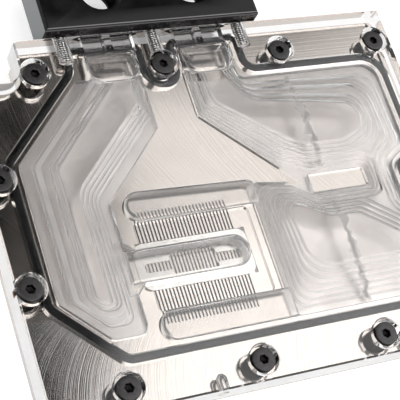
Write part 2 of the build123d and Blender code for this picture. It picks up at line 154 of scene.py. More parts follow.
class Graph:
    """Short hand for building the nodes of one tree."""

    def __init__(self, tree: bpy.types.NodeTree) -> None:
        """Start from an empty tree."""
        self.tree = tree
        tree.nodes.clear()

    def add(self, kind: str, inputs: dict[str | int, Any] | None = None, **settings: Any) -> bpy.types.Node:
        """Add a node.

        Args:
            kind: The node's type name.
            inputs: Values or terms for its inputs, by name or index.
            **settings: The node's own properties.

        Returns:
            The new node.
        """
        node = self.tree.nodes.new(kind)
        for name, value in settings.items():
            setattr(node, name, value)
        for key, value in (inputs or {}).items():
            self.feed(node.inputs[key], value)
        return node

    def feed(self, socket: bpy.types.NodeSocket, value: Any) -> None:
        """Give an input a value or link a term to it."""
        if isinstance(value, Term):
            self.tree.links.new(value.socket, socket)
        else:
            socket.default_value = value

    def term(self, kind: str, inputs: dict[str | int, Any] | None = None, output: str | int = 0,
             **settings: Any) -> Term:
        """Add a node for one of its outputs.

        Args:
            kind: The node's type name.
            inputs: Values or terms for its inputs, by name or index.
            output: Name or index of the output.
            **settings: The node's own properties.

        Returns:
            The output.
        """
        return Term(self, self.add(kind, inputs, **settings).outputs[output])

    def math(self, operation: str, first: Any, second: Any = 0.0) -> Term:
        """Add a Math node.

        Args:
            operation: Its operation.
            first: Its first input.
            second: Its second input.

        Returns:
            Its output.
        """
        return self.term("ShaderNodeMath", {0: first, 1: second}, operation=operation)

    def blend(self, factor: Any, first: Any, second: Any) -> Term:
        """Mix two colours.

        Args:
            factor: Share of the second.
            first: First colour.
            second: Second colour.

        Returns:
            The mixed colour.
        """
        node = self.add("ShaderNodeMix", data_type="RGBA")
        for name, value in (("Factor_Float", factor), ("A_Color", first), ("B_Color", second)):
            self.feed(pick(node.inputs, name), value)
        return Term(self, pick(node.outputs, "Result_Color"))

    def noise(self, vector: Any, scale: float, detail: float) -> Term:
        """Add a noise texture.

        Args:
            vector: Where it is read.
            scale: Its scale, per metre.
            detail: How many finer layers it has.

        Returns:
            Its value.
        """
        return self.term("ShaderNodeTexNoise", {"Vector": vector, "Scale": scale, "Detail": detail})

    def lines(self, along: Any, scale: float, detail: float) -> Term:
        """Add a noise of one number, for marks that run as lines.

        Args:
            along: The number that it is read at, in metres.
            scale: Its scale, per metre.
            detail: How many finer layers it has.

        Returns:
            Its value.
        """
        return self.term("ShaderNodeTexNoise", {"W": along, "Scale": scale, "Detail": detail},
                         noise_dimensions="1D")

    def vary(self, noise: Term, middle: float, less: float, more: float) -> Term:
        """Vary a value with a noise.

        Args:
            noise: The noise.
            middle: The value.
            less: How far it goes down.
            more: How far it goes up.

        Returns:
            The varied value.
        """
        return noise.spread(*NOISE, middle - less, middle + more)

    def split(self, vector: Any) -> list[Term]:
        """Take a vector apart into x, y and z."""
        return [Term(self, part) for part in self.add("ShaderNodeSeparateXYZ", {0: vector}).outputs]

    def upright(self, z: Any) -> Term:
        """Make a vector along Z."""
        return self.term("ShaderNodeCombineXYZ", {2: z})

    def place(self) -> list[Term]:
        """Read the Object coordinates, whole and as x, y and z."""
        vector = self.term("ShaderNodeTexCoord", output="Object")
        return [vector, *self.split(vector)]

    def facing(self) -> list[Term]:
        """Read the normal's x, y and z."""
        return self.split(self.term("ShaderNodeNewGeometry", output="Normal"))

    def bump(self, height: Any, distance: float) -> Term:
        """Bump the normal, with the height of a value of one in metres."""
        return self.term("ShaderNodeBump", {"Height": height, "Distance": distance, "Strength": 1.0})

    def coat(self, inputs: dict[str, Any]) -> None:
        """Finish a material with a Principled shader that has these inputs."""
        self.surface(self.term("ShaderNodeBsdfPrincipled", inputs))

    def surface(self, shader: Term) -> None:
        """Link a shader to the material's output."""
        self.add("ShaderNodeOutputMaterial", {"Surface": shader})


@dataclass(frozen=True)
class Coat:
    """A finish. Its noises are given by their scale per metre and their detail."""

    finish: Finish

    def build(self) -> bpy.types.Material:
        """Make the finish's material.

        Returns:
            The material.
        """
        material = bpy.data.materials.new(self.finish.value)
        material.use_nodes = True
        self.lay(Graph(material.node_tree))
        return material

    def lay(self, graph: Graph) -> None:
        """Lay the material's nodes.

        Args:
            graph: The material's graph.
        """
        raise NotImplementedError


@dataclass(frozen=True)
class NickelPlating(Coat):
    """Fly-cut plate with nickel plating, and copper showing at its chamfered rim."""

    colour: Colour = (0.755, 0.70, 0.655, 1.0)
    shade: Colour = (0.50, 0.455, 0.42, 1.0)
    # Painted reflection: the left part of the front lane is tinted cool grey, standing in for the
    # reflection that the plate shows there.
    painted_cool_reflection: Colour = (0.64, 0.655, 0.69, 1.0)
    painted_reflection_share: float = 0.7
    painted_reflection_x: Pair = (-0.02, -0.045)
    copper: Colour = (0.66, 0.31, 0.16, 1.0)
    rim_left: float = -0.0543
    rim_back: float = 0.0712
    # Painted shade: near black in the channels between the fins under the jet plate, where shade falls.
    painted_channel_shade: Colour = (0.045, 0.042, 0.04, 1.0)
    painted_shade_z: Pair = (0.0025, 0.0059)
    painted_shade_half: Pair = (0.0153, 0.0171)
    roughness: float = 0.10
    varied: Pair = (0.04, 0.06)
    back_cutter: Pair = (0.075, 0.062)
    front_cutter: Pair = (0.036, -0.042)
    front_pitch: float = 1.3
    lane_end: float = -0.010
    strip: Pair = (0.0362, 0.0583)
    wobble: Pair = (60.0, 3.0)
    wobble_size: float = 0.0004
    fine: Pair = (3700.0, 1.0)
    broad: Pair = (2100.0, 2.0)
    cloud: Pair = (45.0, 4.0)
    wear: Pair = (300.0, 3.0)
    side_tone: float = 0.42
    mark_depth: float = 0.0000055
    fine_depth: float = 0.3
    lane_depth: Pair = (0.8, 0.45)
    tones: Corner = (0.45, 0.35, 0.2)
    tint: Pair = (0.27, 0.73)
    flat: Pair = (0.6, 0.9)
    dull: Pair = (0.6, 0.4)
    worn: tuple[Pair, Pair] = ((0.35, 0.6), (0.7, 1.0))
    chamfer_width: Pair = (0.004, 0.003)
    chamfer_tilt: tuple[Pair, Pair] = ((0.3, 0.5), (0.97, 0.9))
    chamfer_back: float = 0.2
    side_width: Pair = (0.0006, 0.0004)
    satin: Colour = (0.96, 0.915, 0.895, 1.0)
    satin_share: float = 0.85
    satin_roughness: float = 0.36
    soft_edge: Pair = (-0.0004, 0.0006)
    island: tuple[Edge, ...] = (
        (1.0, 0.0, -0.0442), (-1.0, 0.0, 0.0639), (0.0, 1.0, -0.0143), (0.0, -1.0, 0.0202))
    satin_parts: tuple[tuple[tuple[Edge, ...], tuple[Edge, ...]], ...] = (
        (((1.0, 0.0, 0.0435), (0.717, -0.697, 0.056), (0.718, 0.696, 0.0356), (0.0, 1.0, 0.019),
          (0.0, -1.0, 0.0605), (-1.0, 0.0, 0.0013)), ((-1.0, 0.0, -0.0203), (-0.705, 0.709, -0.0288))),
        (((-1.0, 0.0, 0.083), (0.0, -1.0, 0.057), (1.0, 0.0, -0.0154)), ((0.7071, 0.7071, -0.0424),)),
        (((-1.0, 0.0, 0.083), (0.0, 1.0, 0.0233), (-0.129, -0.992, 0.0234)), ((1.0, 0.0, -0.0236),)),
    )

    def swirl(self, x: Term, y: Term, cutter: Pair) -> Term:
        """Number the arcs that a fly cutter leaves on its way along X.

        Args:
            x: Place along X.
            y: Place along Y.
            cutter: The cutter's radius and the y that its middle moves along.

        Returns:
            The place along X of the arc's leftmost point, less the radius.
        """
        radius, row = cutter
        off = y - row
        return x + (radius * radius - off * off).most(0.0).root()

    def within(self, x: Term, y: Term, edges: Sequence[Edge]) -> Term:
        """Find a region between straight edges, with a soft change across them.

        Args:
            x: Place along X.
            y: Place along Y.
            edges: For each edge, factors of x and y and a number that add up to more than nought inside.

        Returns:
            One in the region.
        """
        found: Any = 1.0
        for along_x, along_y, rest in edges:
            found = (x * along_x + y * along_y + rest).spread(*self.soft_edge) * found
        return found

    def below_chambers(self, x: Term, y: Term) -> Term:
        """Find the parts of the face that lie below the two chambers.

        Args:
            x: Place along X.
            y: Place along Y.

        Returns:
            One below the chambers.
        """
        found: Any = 0.0
        for edges, ends in self.satin_parts:
            reach: Any = 0.0
            for end in ends:
                reach = self.within(x, y, [end]).most(reach)
            found = (self.within(x, y, edges) * reach).most(found)
        return found * (1.0 - self.within(x, y, self.island))

    def rim(self, x: Term, y: Term, tilt: Term) -> Term:
        """Find where the copper shows, on the chamfers of the rim.

        Args:
            x: Place along X.
            y: Place along Y.
            tilt: The normal's z.

        Returns:
            One where it shows.
        """
        left = x - self.rim_left
        side, top = self.chamfer_tilt
        behind = (self.rim_back - y).spread(*self.chamfer_width, 0.0, self.chamfer_back)
        chamfer = tilt.spread(*side) * tilt.spread(*top) * left.spread(*self.chamfer_width).most(behind)
        return chamfer.most(left.spread(*self.side_width) * tilt.spread(*side))

    def lay(self, graph: Graph) -> None:
        """Lay the marks, the satin parts, the rim, a painted cool reflection and painted shade in the
        channels between the fins.

        Args:
            graph: The material's graph.
        """
        vector, x, y, z = graph.place()
        tilt = graph.facing()[2]
        lane = y < self.lane_end
        arc = self.swirl(x, y, self.back_cutter) * (1.0 - lane)
        arc = arc + self.swirl(x, y, self.front_cutter) * (lane * self.front_pitch)
        strip = (y > self.strip[1]) * (x > self.strip[0])
        arc = arc * (1.0 - strip) + y * strip + graph.noise(vector, *self.wobble) * self.wobble_size
        fine = graph.lines(arc, *self.fine)
        broad = graph.lines(arc, *self.broad)
        cloud = graph.noise(vector, *self.cloud)
        flat = abs(tilt).spread(*self.flat)
        more, least = self.lane_depth
        marks = (fine * self.fine_depth + broad) * flat * (lane * more + least)
        tones = self.tones
        tone = (fine * tones[0] + broad * tones[1]) * flat + (1.0 - flat) * self.side_tone
        tint = (tone + cloud * tones[2]).spread(*self.tint)
        colour = graph.blend(tint, self.shade, self.colour)
        # Painted reflection: a cool grey tint on the left part of the front lane.
        corner = lane * self.painted_reflection_share * x.spread(*self.painted_reflection_x)
        colour = graph.blend(corner, colour, graph.blend(tint, self.shade, self.painted_cool_reflection))
        satin = self.below_chambers(x, y)
        colour = graph.blend(satin * self.satin_share, colour, self.satin)
        worn = graph.noise(vector, *self.wear).spread(*self.worn[0], *self.worn[1])
        colour = graph.blend(self.rim(x, y, tilt) * worn, colour, self.copper)
        # Painted shade in the channels between the fins.
        painted_channel_shade = (abs(x) < self.painted_shade_half[0]) * (abs(y) < self.painted_shade_half[1])
        painted_channel_shade = painted_channel_shade * (z > self.painted_shade_z[0]) * (z < self.painted_shade_z[1])
        colour = graph.blend(painted_channel_shade, colour, self.painted_channel_shade)
        rough = graph.vary(cloud * self.dull[0] + broad * self.dull[1], self.roughness, *self.varied)
        rough = rough * (1.0 - satin) + satin * self.satin_roughness
        graph.coat({"Base Color": colour, "Metallic": 1.0, "Roughness": rough,
                    "Normal": graph.bump(marks, self.mark_depth)})


@dataclass(frozen=True)
class JetSteel(Coat):
    """Etched stainless plate over the channels."""

    colour: Colour = (0.79, 0.765, 0.735, 1.0)
    shade: Colour = (0.70, 0.68, 0.65, 1.0)
    roughness: float = 0.15
    varied: Pair = (0.05, 0.08)
    rolled: Pair = (5200.0, 3.0)
    spots: Pair = (500.0, 3.0)
    depth: float = 0.0000015
    slant: float = 0.02
    mix: Pair = (0.6, 0.4)
    tint: Pair = (0.35, 0.65)

    def lay(self, graph: Graph) -> None:
        """Lay the rolled lines and the spots.

        Args:
            graph: The material's graph.
        """
        vector, x, y, _ = graph.place()
        rolled = graph.lines(y + x * self.slant, *self.rolled)
        spots = graph.noise(vector, *self.spots)
        tint = (rolled * self.mix[0] + spots * self.mix[1]).spread(*self.tint)
        colour = graph.blend(tint, self.shade, self.colour)
        rough = graph.vary(spots, self.roughness, *self.varied)
        graph.coat({"Base Color": colour, "Metallic": 1.0, "Roughness": rough,
                    "Normal": graph.bump(rolled, self.depth)})


@dataclass(frozen=True)
class CastAcrylic(Coat):
    """Clear cast plastic in one of its finishes."""

    colour: Colour = (0.99, 0.985, 0.98, 1.0)
    roughness: float = 0.0
    body: float = 1.0
    tool_depth: float = 0.0
    tool_pitch: float = 0.0011
    shade: float = 0.965
    index: float = 1.49
    haze: Pair = (140.0, 2.0)
    swirl: Pair = (70.0, 2.0)
    grain: Pair = (1500.0, 1.0)
    slant: float = 0.35
    sway: float = 0.02
    ripple_detail: float = 2.0
    mix: Pair = (0.3, 0.6)
    varied: Pair = (0.8, 1.2)

    def inputs(self, graph: Graph, place: Sequence[Term]) -> dict[str, Any]:
        """Lay the haze and the tool's marks.

        Args:
            graph: The material's graph.
            place: Object coordinates, whole and as x, y and z.

        Returns:
            The shader's inputs.
        """
        vector, x, y, _ = place
        haze = graph.noise(vector, *self.haze)
        dull = tuple(self.shade * part for part in self.colour[:3]) + (1.0,)
        inputs = {"Base Color": graph.blend(haze.spread(*NOISE), self.colour, dull), "IOR": self.index,
                  "Transmission Weight": self.body, "Roughness": self.roughness}
        if self.tool_depth:
            along = x + y * self.slant + graph.noise(vector, *self.swirl) * self.sway
            ripple = graph.lines(along, 1.0 / self.tool_pitch, self.ripple_detail)
            grain = graph.noise(vector, *self.grain)
            inputs["Normal"] = graph.bump(grain * self.mix[0] + ripple * self.mix[1], self.tool_depth)
            inputs["Roughness"] = haze.spread(*NOISE, *(self.roughness * part for part in self.varied))
        return inputs

    def lay(self, graph: Graph) -> None:
        """Lay the plastic's nodes.

        Args:
            graph: The material's graph.
        """
        graph.coat(self.inputs(graph, graph.place()))


@dataclass(frozen=True)
class MilledAcrylic(CastAcrylic):
    """Milled steps, cloudy on their flanks, with a painted line of shade that stands in for a shadowed
    groove below them.
    """

    colour: Colour = (1.0, 0.982, 0.968, 1.0)
    roughness: float = 0.24
    body: float = 0.9
    tool_depth: float = 0.000002
    cusp_body: float = 0.5
    left_body: float = 0.84
    left_roughness: float = 0.22
    left_x: Pair = (-0.022, 0.016)
    least_body: float = 0.12
    drift: Pair = (90.0, 1.0)
    drift_share: float = 0.2
    start: float = 0.0086
    rises: Pair = (0.0006, 0.0005)
    middle: float = 0.0081
    # Painted shade: a ragged grey line with gaps along it, standing in for the shadow of a groove below the
    # chamber.
    shade_line_x: float = 0.0491
    shade_line_width: Pair = (0.0016, 0.0003)
    shade_line_share: float = 0.85
    shade_line_sway: Pair = (330.0, 3.0)
    shade_line_swing: float = 0.0058
    shade_line_patch: Pair = (380.0, 2.0)
    shade_line_end: float = 0.001
    shade_line_span: Pair = (-0.0219, 0.0536)
    shade_line_gap: Pair = (0.011, 0.0225)
    shade_line_colour: Colour = (0.42, 0.40, 0.39, 1.0)
    shade_line_patches: tuple[Pair, Pair] = ((0.36, 0.58), (0.5, 1.0))
    phase: float = 20.04
    flank: tuple[Pair, Pair] = ((0.12, 0.45), (1.0, 0.92))

    def between(self, value: Term, ends: Pair) -> Term:
        """Find the values between two ends, with soft ends."""
        low, high = ends
        soft = self.shade_line_end
        return value.spread(low - soft, low + soft) * value.spread(high + soft, high - soft)

    def painted_shade_line(self, graph: Graph, place: Sequence[Term]) -> Term:
        """Find the ragged painted line of shade that stands in for a shadowed groove below.

        Args:
            graph: The material's graph.
            place: Object coordinates, whole and as x, y and z.

        Returns:
            How strong the line is at each place.
        """
        vector, x, y, _ = place
        sway = (graph.noise(vector, *self.shade_line_sway) - 0.5) * self.shade_line_swing
        line = abs(x - self.shade_line_x + sway).spread(*self.shade_line_width, 0.0, self.shade_line_share)
        patchy = graph.noise(vector, *self.shade_line_patch).spread(*self.shade_line_patches[0], *self.shade_line_patches[1])
        return line * patchy * self.between(y, self.shade_line_span) * (1.0 - self.between(y, self.shade_line_gap))

    def cusp(self, x: Term, z: Term) -> Term:
        """Find the steep flanks of the milled steps by their height.

        Args:
            x: Object coordinate x.
            z: Object coordinate z.

        Returns:
            One on the flanks and nought on the flats.
        """
        rise = (x > self.middle).spread(0.0, 1.0, *self.rises)
        phase = ((z - self.start) / rise + self.phase).fraction()
        foot, crest = self.flank
        return phase.spread(*foot) * phase.spread(*crest)

    def inputs(self, graph: Graph, place: Sequence[Term]) -> dict[str, Any]:
        """Lay the haze, the marks, the flanks and the painted line of shade.

        Args:
            graph: The material's graph.
            place: Object coordinates, whole and as x, y and z.

        Returns:
            The shader's inputs.
        """
        inputs = super().inputs(graph, place)
        vector, x, _, z = place
        # Painted shade line: mixed into the colour and taken from the clearness.
        painted_shade_line = self.painted_shade_line(graph, place)
        drift = graph.noise(vector, *self.drift).spread(*NOISE) - 0.5
        clear = x.spread(*self.left_x, self.left_body, self.body)
        clear = clear * (1.0 - self.cusp(x, z) * (1.0 - self.cusp_body)) + drift * self.drift_share
        inputs["Base Color"] = graph.blend(painted_shade_line, inputs["Base Color"], self.shade_line_colour)
        inputs["Roughness"] = x.spread(*self.left_x, self.left_roughness, self.roughness)
        inputs["Transmission Weight"] = (clear - painted_shade_line).most(self.least_body)
        return inputs


@dataclass(frozen=True)
class SealRubber(Coat):
    """Matt black rubber with a faint bloom."""

    colour: Colour = (0.006, 0.006, 0.007, 1.0)
    bloom: Colour = (0.012, 0.012, 0.013, 1.0)
    roughness: float = 0.3
    varied: Pair = (0.06, 0.08)
    gloss: float = 0.25
    cloud: Pair = (420.0, 4.0)
    tint: Pair = (0.35, 0.7)
    grain: Pair = (6000.0, 2.0)
    depth: float = 0.000006

    def lay(self, graph: Graph) -> None:
        """Lay the bloom and the grain.

        Args:
            graph: The material's graph.
        """
        vector = graph.place()[0]
        grain = graph.noise(vector, *self.grain)
        tint = graph.noise(vector, *self.cloud).spread(*self.tint)
        colour = graph.blend(tint, self.colour, self.bloom)
        rough = graph.vary(grain, self.roughness, *self.varied)
        graph.coat({"Base Color": colour, "Roughness": rough, "Specular IOR Level": self.gloss,
                    "Normal": graph.bump(grain, self.depth)})


@dataclass(frozen=True)
class BlackOxide(Coat):
    """Blackened steel of the screws, lighter where it is rubbed, with painted shade below the height of the
    cover heads' top faces, in the sockets and on the sides.
    """

    colour: Colour = (0.019, 0.017, 0.0165, 1.0)
    rubbed: Colour = (0.040, 0.036, 0.037, 1.0)
    # Painted shade: near black below the height of the cover screws' top faces, in the sockets and down the
    # sides.
    hollow: Colour = (0.003, 0.003, 0.003, 1.0)
    roughness: float = 0.34
    varied: Pair = (0.05, 0.07)
    metal: float = 0.3
    gloss: Pair = (0.2, 0.65)
    face: Pair = (0.01415, 0.0143)
    turned: Pair = (900.0, 2.0)
    tint: Pair = (0.4, 0.75)
    grain: Pair = (5200.0, 3.0)
    depth: float = 0.000004

    def lay(self, graph: Graph) -> None:
        """Lay the rubbed parts and the painted shade in the sockets and below the heads' top faces.

        Args:
            graph: The material's graph.
        """
        vector, _, _, z = graph.place()
        grain = graph.noise(vector, *self.grain)
        tint = graph.noise(vector, *self.turned).spread(*self.tint)
        colour = graph.blend(tint, self.colour, self.rubbed)
        # Painted shade below the height of the top faces.
        raised = z.spread(*self.face)
        rough = graph.vary(grain, self.roughness, *self.varied)
        graph.coat({"Base Color": graph.blend(raised, self.hollow, colour), "Metallic": self.metal,
                    "Roughness": rough, "Specular IOR Level": raised * self.gloss[1] + self.gloss[0],
                    "Normal": graph.bump(grain, self.depth)})


@dataclass(frozen=True)
class TerminalBlack(Coat):
    """Black acetal with the fine marks of its milling, a painted reflection on its ends and painted
    highlight lines along its front edge.
    """

    colour: Colour = (0.0035, 0.003, 0.0032, 1.0)
    worn: Colour = (0.008, 0.0075, 0.008, 1.0)
    # Painted reflection: the end faces are light grey-blue, as if they reflected bright light.
    sawn: Colour = (0.155, 0.165, 0.17, 1.0)
    # Painted highlight: light lines along the front's top chamfer.
    painted_edge_highlight: Colour = (0.17, 0.166, 0.168, 1.0)
    roughness: float = 0.2
    varied: Pair = (0.05, 0.07)
    gloss: float = 0.2
    middle: float = 0.0081
    ends: Pair = (0.0345, 0.035)
    edges: tuple[Pair, Pair] = ((0.01835, 0.45), (0.01888, 1.0))
    edge_width: Pair = (0.00018, 0.00006)
    end_facing: Pair = (0.95, 0.995)
    front_facing: Pair = (-0.3, -0.5)
    cloud: Pair = (180.0, 4.0)
    tint: Pair = (0.35, 0.75)
    brushed: Pair = (4200.0, 3.0)
    grain: Pair = (3800.0, 2.0)
    depth: float = 0.000005
    slant: float = 0.01
    mix: Pair = (0.6, 0.4)

    def lay(self, graph: Graph) -> None:
        """Lay the milling, the painted reflection on the ends and the painted highlight lines on the front
        edge.

        Args:
            graph: The material's graph.
        """
        vector, x, y, z = graph.place()
        aside, ahead, _ = graph.facing()
        cloud = graph.noise(vector, *self.cloud)
        colour = graph.blend(cloud.spread(*self.tint), self.colour, self.worn)
        # Painted reflection on the end faces.
        end = abs(aside).spread(*self.end_facing) * abs(x - self.middle).spread(*self.ends)
        colour = graph.blend(end, colour, self.sawn)
        # Painted highlight lines along the front's top chamfer.
        for edge, share in self.edges:
            line = abs(z - edge).spread(*self.edge_width, 0.0, share) * ahead.spread(*self.front_facing)
            colour = graph.blend(line, colour, self.painted_edge_highlight)
        rough = graph.vary(cloud, self.roughness, *self.varied)
        brushed = graph.lines(y + x * self.slant, *self.brushed)
        height = brushed * self.mix[0] + graph.noise(vector, *self.grain) * self.mix[1]
        graph.coat({"Base Color": colour, "Roughness": rough, "Specular IOR Level": self.gloss,
                    "Normal": graph.bump(height, self.depth)})


@dataclass(frozen=True)
class PlatedBrass(Coat):
    """Turned brass with bright plating."""

    colour: Colour = (0.74, 0.71, 0.66, 1.0)
    shade: Colour = (0.60, 0.56, 0.50, 1.0)
    roughness: float = 0.26
    varied: Pair = (0.05, 0.07)
    rings: Pair = (4200.0, 2.0)
    cloud: Pair = (800.0, 3.0)
    tint: Pair = (0.35, 0.7)
    depth: float = 0.000006

    def lay(self, graph: Graph) -> None:
        """Lay the turned rings.

        Args:
            graph: The material's graph.
        """
        vector, _, _, z = graph.place()
        cloud = graph.noise(vector, *self.cloud)
        rough = graph.vary(cloud, self.roughness, *self.varied)
        graph.coat({"Base Color": graph.blend(cloud.spread(*self.tint), self.shade, self.colour),
                    "Metallic": 1.0, "Roughness": rough,
                    "Normal": graph.bump(graph.lines(z, *self.rings), self.depth)})


@dataclass(frozen=True)
class StudioPaper(Coat):
    """Pale paper below the block, which the camera sees as white and which keeps a soft shadow."""

    colour: Colour = (0.86, 0.86, 0.86, 1.0)
    shade: Colour = (0.8514, 0.8514, 0.8514, 1.0)
    fibre: Pair = (900.0, 3.0)
    tint: Pair = (0.2, 0.8)
    lift: float = 0.5
    # Painted shadow: what glass shows of the paper below the terminal is dimmed.
    painted_shadow: float = 0.65
    painted_shadow_x: Pair = (-0.0195, 0.0355)
    painted_shadow_y: Pair = (0.069, 0.0985)
    soft: Pair = (0.002, 0.003)

    def lay(self, graph: Graph) -> None:
        """Lay the paper, lifted for the camera, with a painted shadow below the terminal for what glass
        shows.

        Args:
            graph: The material's graph.
        """
        vector, x, y, _ = graph.place()
        fibre = graph.noise(vector, *self.fibre).spread(*self.tint)
        matt = graph.term("ShaderNodeBsdfDiffuse", {"Color": graph.blend(fibre, self.colour, self.shade)})
        seen, glossy, through = (graph.term("ShaderNodeLightPath", output=f"Is {ray} Ray")
                                 for ray in ("Camera", "Glossy", "Transmission"))
        glow = graph.term("ShaderNodeEmission", {"Strength": seen * self.lift})
        lifted = graph.term("ShaderNodeAddShader", {0: matt, 1: glow})
        # Painted shadow below the terminal, for glossy and transmission rays.
        below: Any = 1.0
        for value, (low, high), soft in ((x, self.painted_shadow_x, self.soft[0]), (y, self.painted_shadow_y, self.soft[1])):
            below = value.spread(low - soft, low) * value.spread(high + soft, high) * below
        white = graph.term("ShaderNodeEmission", {"Strength": 1.0 - below * self.painted_shadow})
        graph.surface(graph.term("ShaderNodeMixShader", {0: glossy.most(through), 1: lifted, 2: white}))


@dataclass
class Wardrobe:
    """All finishes, made once and handed out by name."""

    materials: dict[Finish, bpy.types.Material] = field(default_factory=dict)

    def fill(self) -> None:
        """Make every material."""
        coats = (
            NickelPlating(Finish.NICKEL),
            JetSteel(Finish.JET_STEEL),
            CastAcrylic(Finish.POLISHED),
            MilledAcrylic(Finish.MILLED),
            CastAcrylic(Finish.POCKET, colour=(0.985, 0.975, 0.965, 1.0), roughness=0.09, body=0.93,
                        tool_depth=0.000005),
            CastAcrylic(Finish.SLOT, colour=(0.995, 0.985, 0.975, 1.0), roughness=0.12, body=0.88,
                        tool_depth=0.000002),
            CastAcrylic(Finish.SAWN, roughness=0.5, body=0.3, tool_depth=0.000006),
            CastAcrylic(Finish.BORED, roughness=0.04, body=0.97, tool_depth=0.000002, tool_pitch=0.0006),
            CastAcrylic(Finish.TAPPED, colour=(0.96, 0.91, 0.88, 1.0), roughness=0.06, body=0.92,
                        tool_depth=0.000002, tool_pitch=0.0006),
            SealRubber(Finish.SEAL),
            BlackOxide(Finish.BLACK_OXIDE),
            TerminalBlack(Finish.TERMINAL),
            PlatedBrass(Finish.PLATED_BRASS),
            StudioPaper(Finish.PAPER),
        )
        self.materials = {coat.finish: coat.build() for coat in coats}

    def get(self, finish: Finish) -> bpy.types.Material:
        """Give the material of a finish."""
        return self.materials[finish]


def turn_at(before: Corner, here: Corner, after: Corner) -> tuple[float, float, float, float]:
    """Measure the turn at a corner.

    Args:
        before: The corner before it.
        here: The corner.
        after: The corner after it.

    Returns:
        Sine and angle of the turn, and the lengths of the edges that meet there.
    """
    ax, ay = here[0] - before[0], here[1] - before[1]
    bx, by = after[0] - here[0], after[1] - here[1]
    la, lb = math.hypot(ax, ay), math.hypot(bx, by)
    cross = (ax * by - ay * bx) / (la * lb)
    dot = max(-1.0, min(1.0, (ax * bx + ay * by) / (la * lb)))
    return cross, math.acos(dot), la, lb


@dataclass
class Outline:
    """Closed counter-clockwise polygon with rounded corners, in millimetres."""

    corners: list[Corner]
    segments: int = 8
    least: float = 0.25

    def inset(self, steps: Sequence[float]) -> "Outline":
        """Move each edge inwards by its own distance.

        Args:
            steps: One distance for each edge.

        Returns:
            The smaller outline.
        """
        count = len(self.corners)
        lines = []
        for i in range(count):
            (x0, y0), (x1, y1) = self.corners[i][:2], self.corners[(i + 1) % count][:2]
            length = math.hypot(x1 - x0, y1 - y0)
            dx, dy = (x1 - x0) / length, (y1 - y0) / length
            lines.append((x0 - dy * steps[i], y0 + dx * steps[i], dx, dy))
        moved: list[Corner] = []
        for i in range(count):
            ax, ay, adx, ady = lines[i - 1]
            bx, by, bdx, bdy = lines[i]
            cross = adx * bdy - ady * bdx
            radius = self.corners[i][2]
            if abs(cross) < PARALLEL:
                moved.append((bx, by, radius))
                continue
            along = ((bx - ax) * bdy - (by - ay) * bdx) / cross
            if cross < 0:
                radius += max(steps[i], steps[i - 1])
            moved.append((ax + adx * along, ay + ady * along, radius))
        return Outline(moved, self.segments, self.least)

    def offset(self, distance: float) -> "Outline":
        """Move the whole outline inwards with its arcs kept concentric.

        Args:
            distance: How far inwards, or outwards where it is negative.

        Returns:
            The moved outline.
        """
        moved = self.inset([distance] * len(self.corners)).corners
        count = len(self.corners)
        corners: list[Corner] = []
        for i, (x, y, _) in enumerate(moved):
            cross = turn_at(self.corners[i - 1], self.corners[i], self.corners[(i + 1) % count])[0]
            radius = self.corners[i][2] + (-distance if cross > 0 else distance)
            corners.append((x, y, max(radius, self.least)))
        return Outline(corners, self.segments, self.least)

    def points(self) -> list[Pair]:
        """Trace the outline.

        Returns:
            The same number of points for each corner, whatever its radius.
        """
        count = len(self.corners)
        traced: list[Pair] = []
        for i, here in enumerate(self.corners):
            before, after = self.corners[i - 1], self.corners[(i + 1) % count]
            cross, angle, la, lb = turn_at(before, here, after)
            reach = max(here[2], self.least) * math.tan(angle / 2)
            reach = max(min(reach, min(la, lb) / 2 - LEG), LEG)
            start = [here[k] + (before[k] - here[k]) / la * reach for k in (0, 1)]
            end = [here[k] + (after[k] - here[k]) / lb * reach for k in (0, 1)]
            if abs(cross) < STRAIGHT:
                steps = [j / self.segments for j in range(self.segments + 1)]
                traced += [tuple(start[k] + (end[k] - start[k]) * s for k in (0, 1)) for s in steps]
                continue
            radius = reach / math.tan(angle / 2)
            side = 1.0 if cross > 0 else -1.0
            dx, dy = (here[0] - start[0]) / reach, (here[1] - start[1]) / reach
            middle = (start[0] - dy * radius * side, start[1] + dx * radius * side)
            first = math.atan2(start[1] - middle[1], start[0] - middle[0])
            for j in range(self.segments + 1):
                bearing = first + side * angle * j / self.segments
                traced.append((middle[0] + radius * math.cos(bearing),
                               middle[1] + radius * math.sin(bearing)))
        return traced

    def ring(self, z: float, offset: float = 0.0) -> Ring:
        """Trace the outline at a level.

        Args:
            z: The level.
            offset: How far it is moved inwards first.

        Returns:
            Its points in metres.
        """
        line = self.offset(offset) if offset else self
        return [Vector((x, y, z)) * MM for x, y in line.points()]

    def prism(self, name: str, low: float, high: float) -> bpy.types.Object:
        """Fill the outline between two levels."""
        return loft(name, [self.ring(low), self.ring(high)])


def rectangle(x0: float, y0: float, x1: float, y1: float, radius: float = 0.0) -> Outline:
    """Outline a rectangle between two corners."""
    return Outline([(x0, y0, radius), (x1, y0, radius), (x1, y1, radius), (x0, y1, radius)])


def quarter(steps: int) -> list[Pair]:
    """List the cosine and sine of bearings from nought to a right angle."""
    return [(math.cos(QUARTER * i / steps), math.sin(QUARTER * i / steps)) for i in range(steps + 1)]


def hexagon_ring(flats: float, z: float, sides: int = 48) -> Ring:
    """Trace a hexagon round the Z axis, with as many points as a circle has.

    Args:
        flats: Its size across flats.
        z: Its level.
        sides: Number of points, a multiple of six.

    Returns:
        The points in metres.
    """
    ring = []
    for i in range(sides):
        bearing = 2 * math.pi * i / sides
        radius = flats / 2 / math.cos(bearing % (math.pi / 3) - math.pi / 6)
        ring.append(Vector((radius * math.cos(bearing), radius * math.sin(bearing), z)) * MM)
    return ring


def circle_ring(radius: float, z: float, sides: int = 48) -> Ring:
    """Trace a circle round the Z axis in metres."""
    bearings = [2 * math.pi * i / sides for i in range(sides)]
    return [Vector((radius * math.cos(b), radius * math.sin(b), z)) * MM for b in bearings]


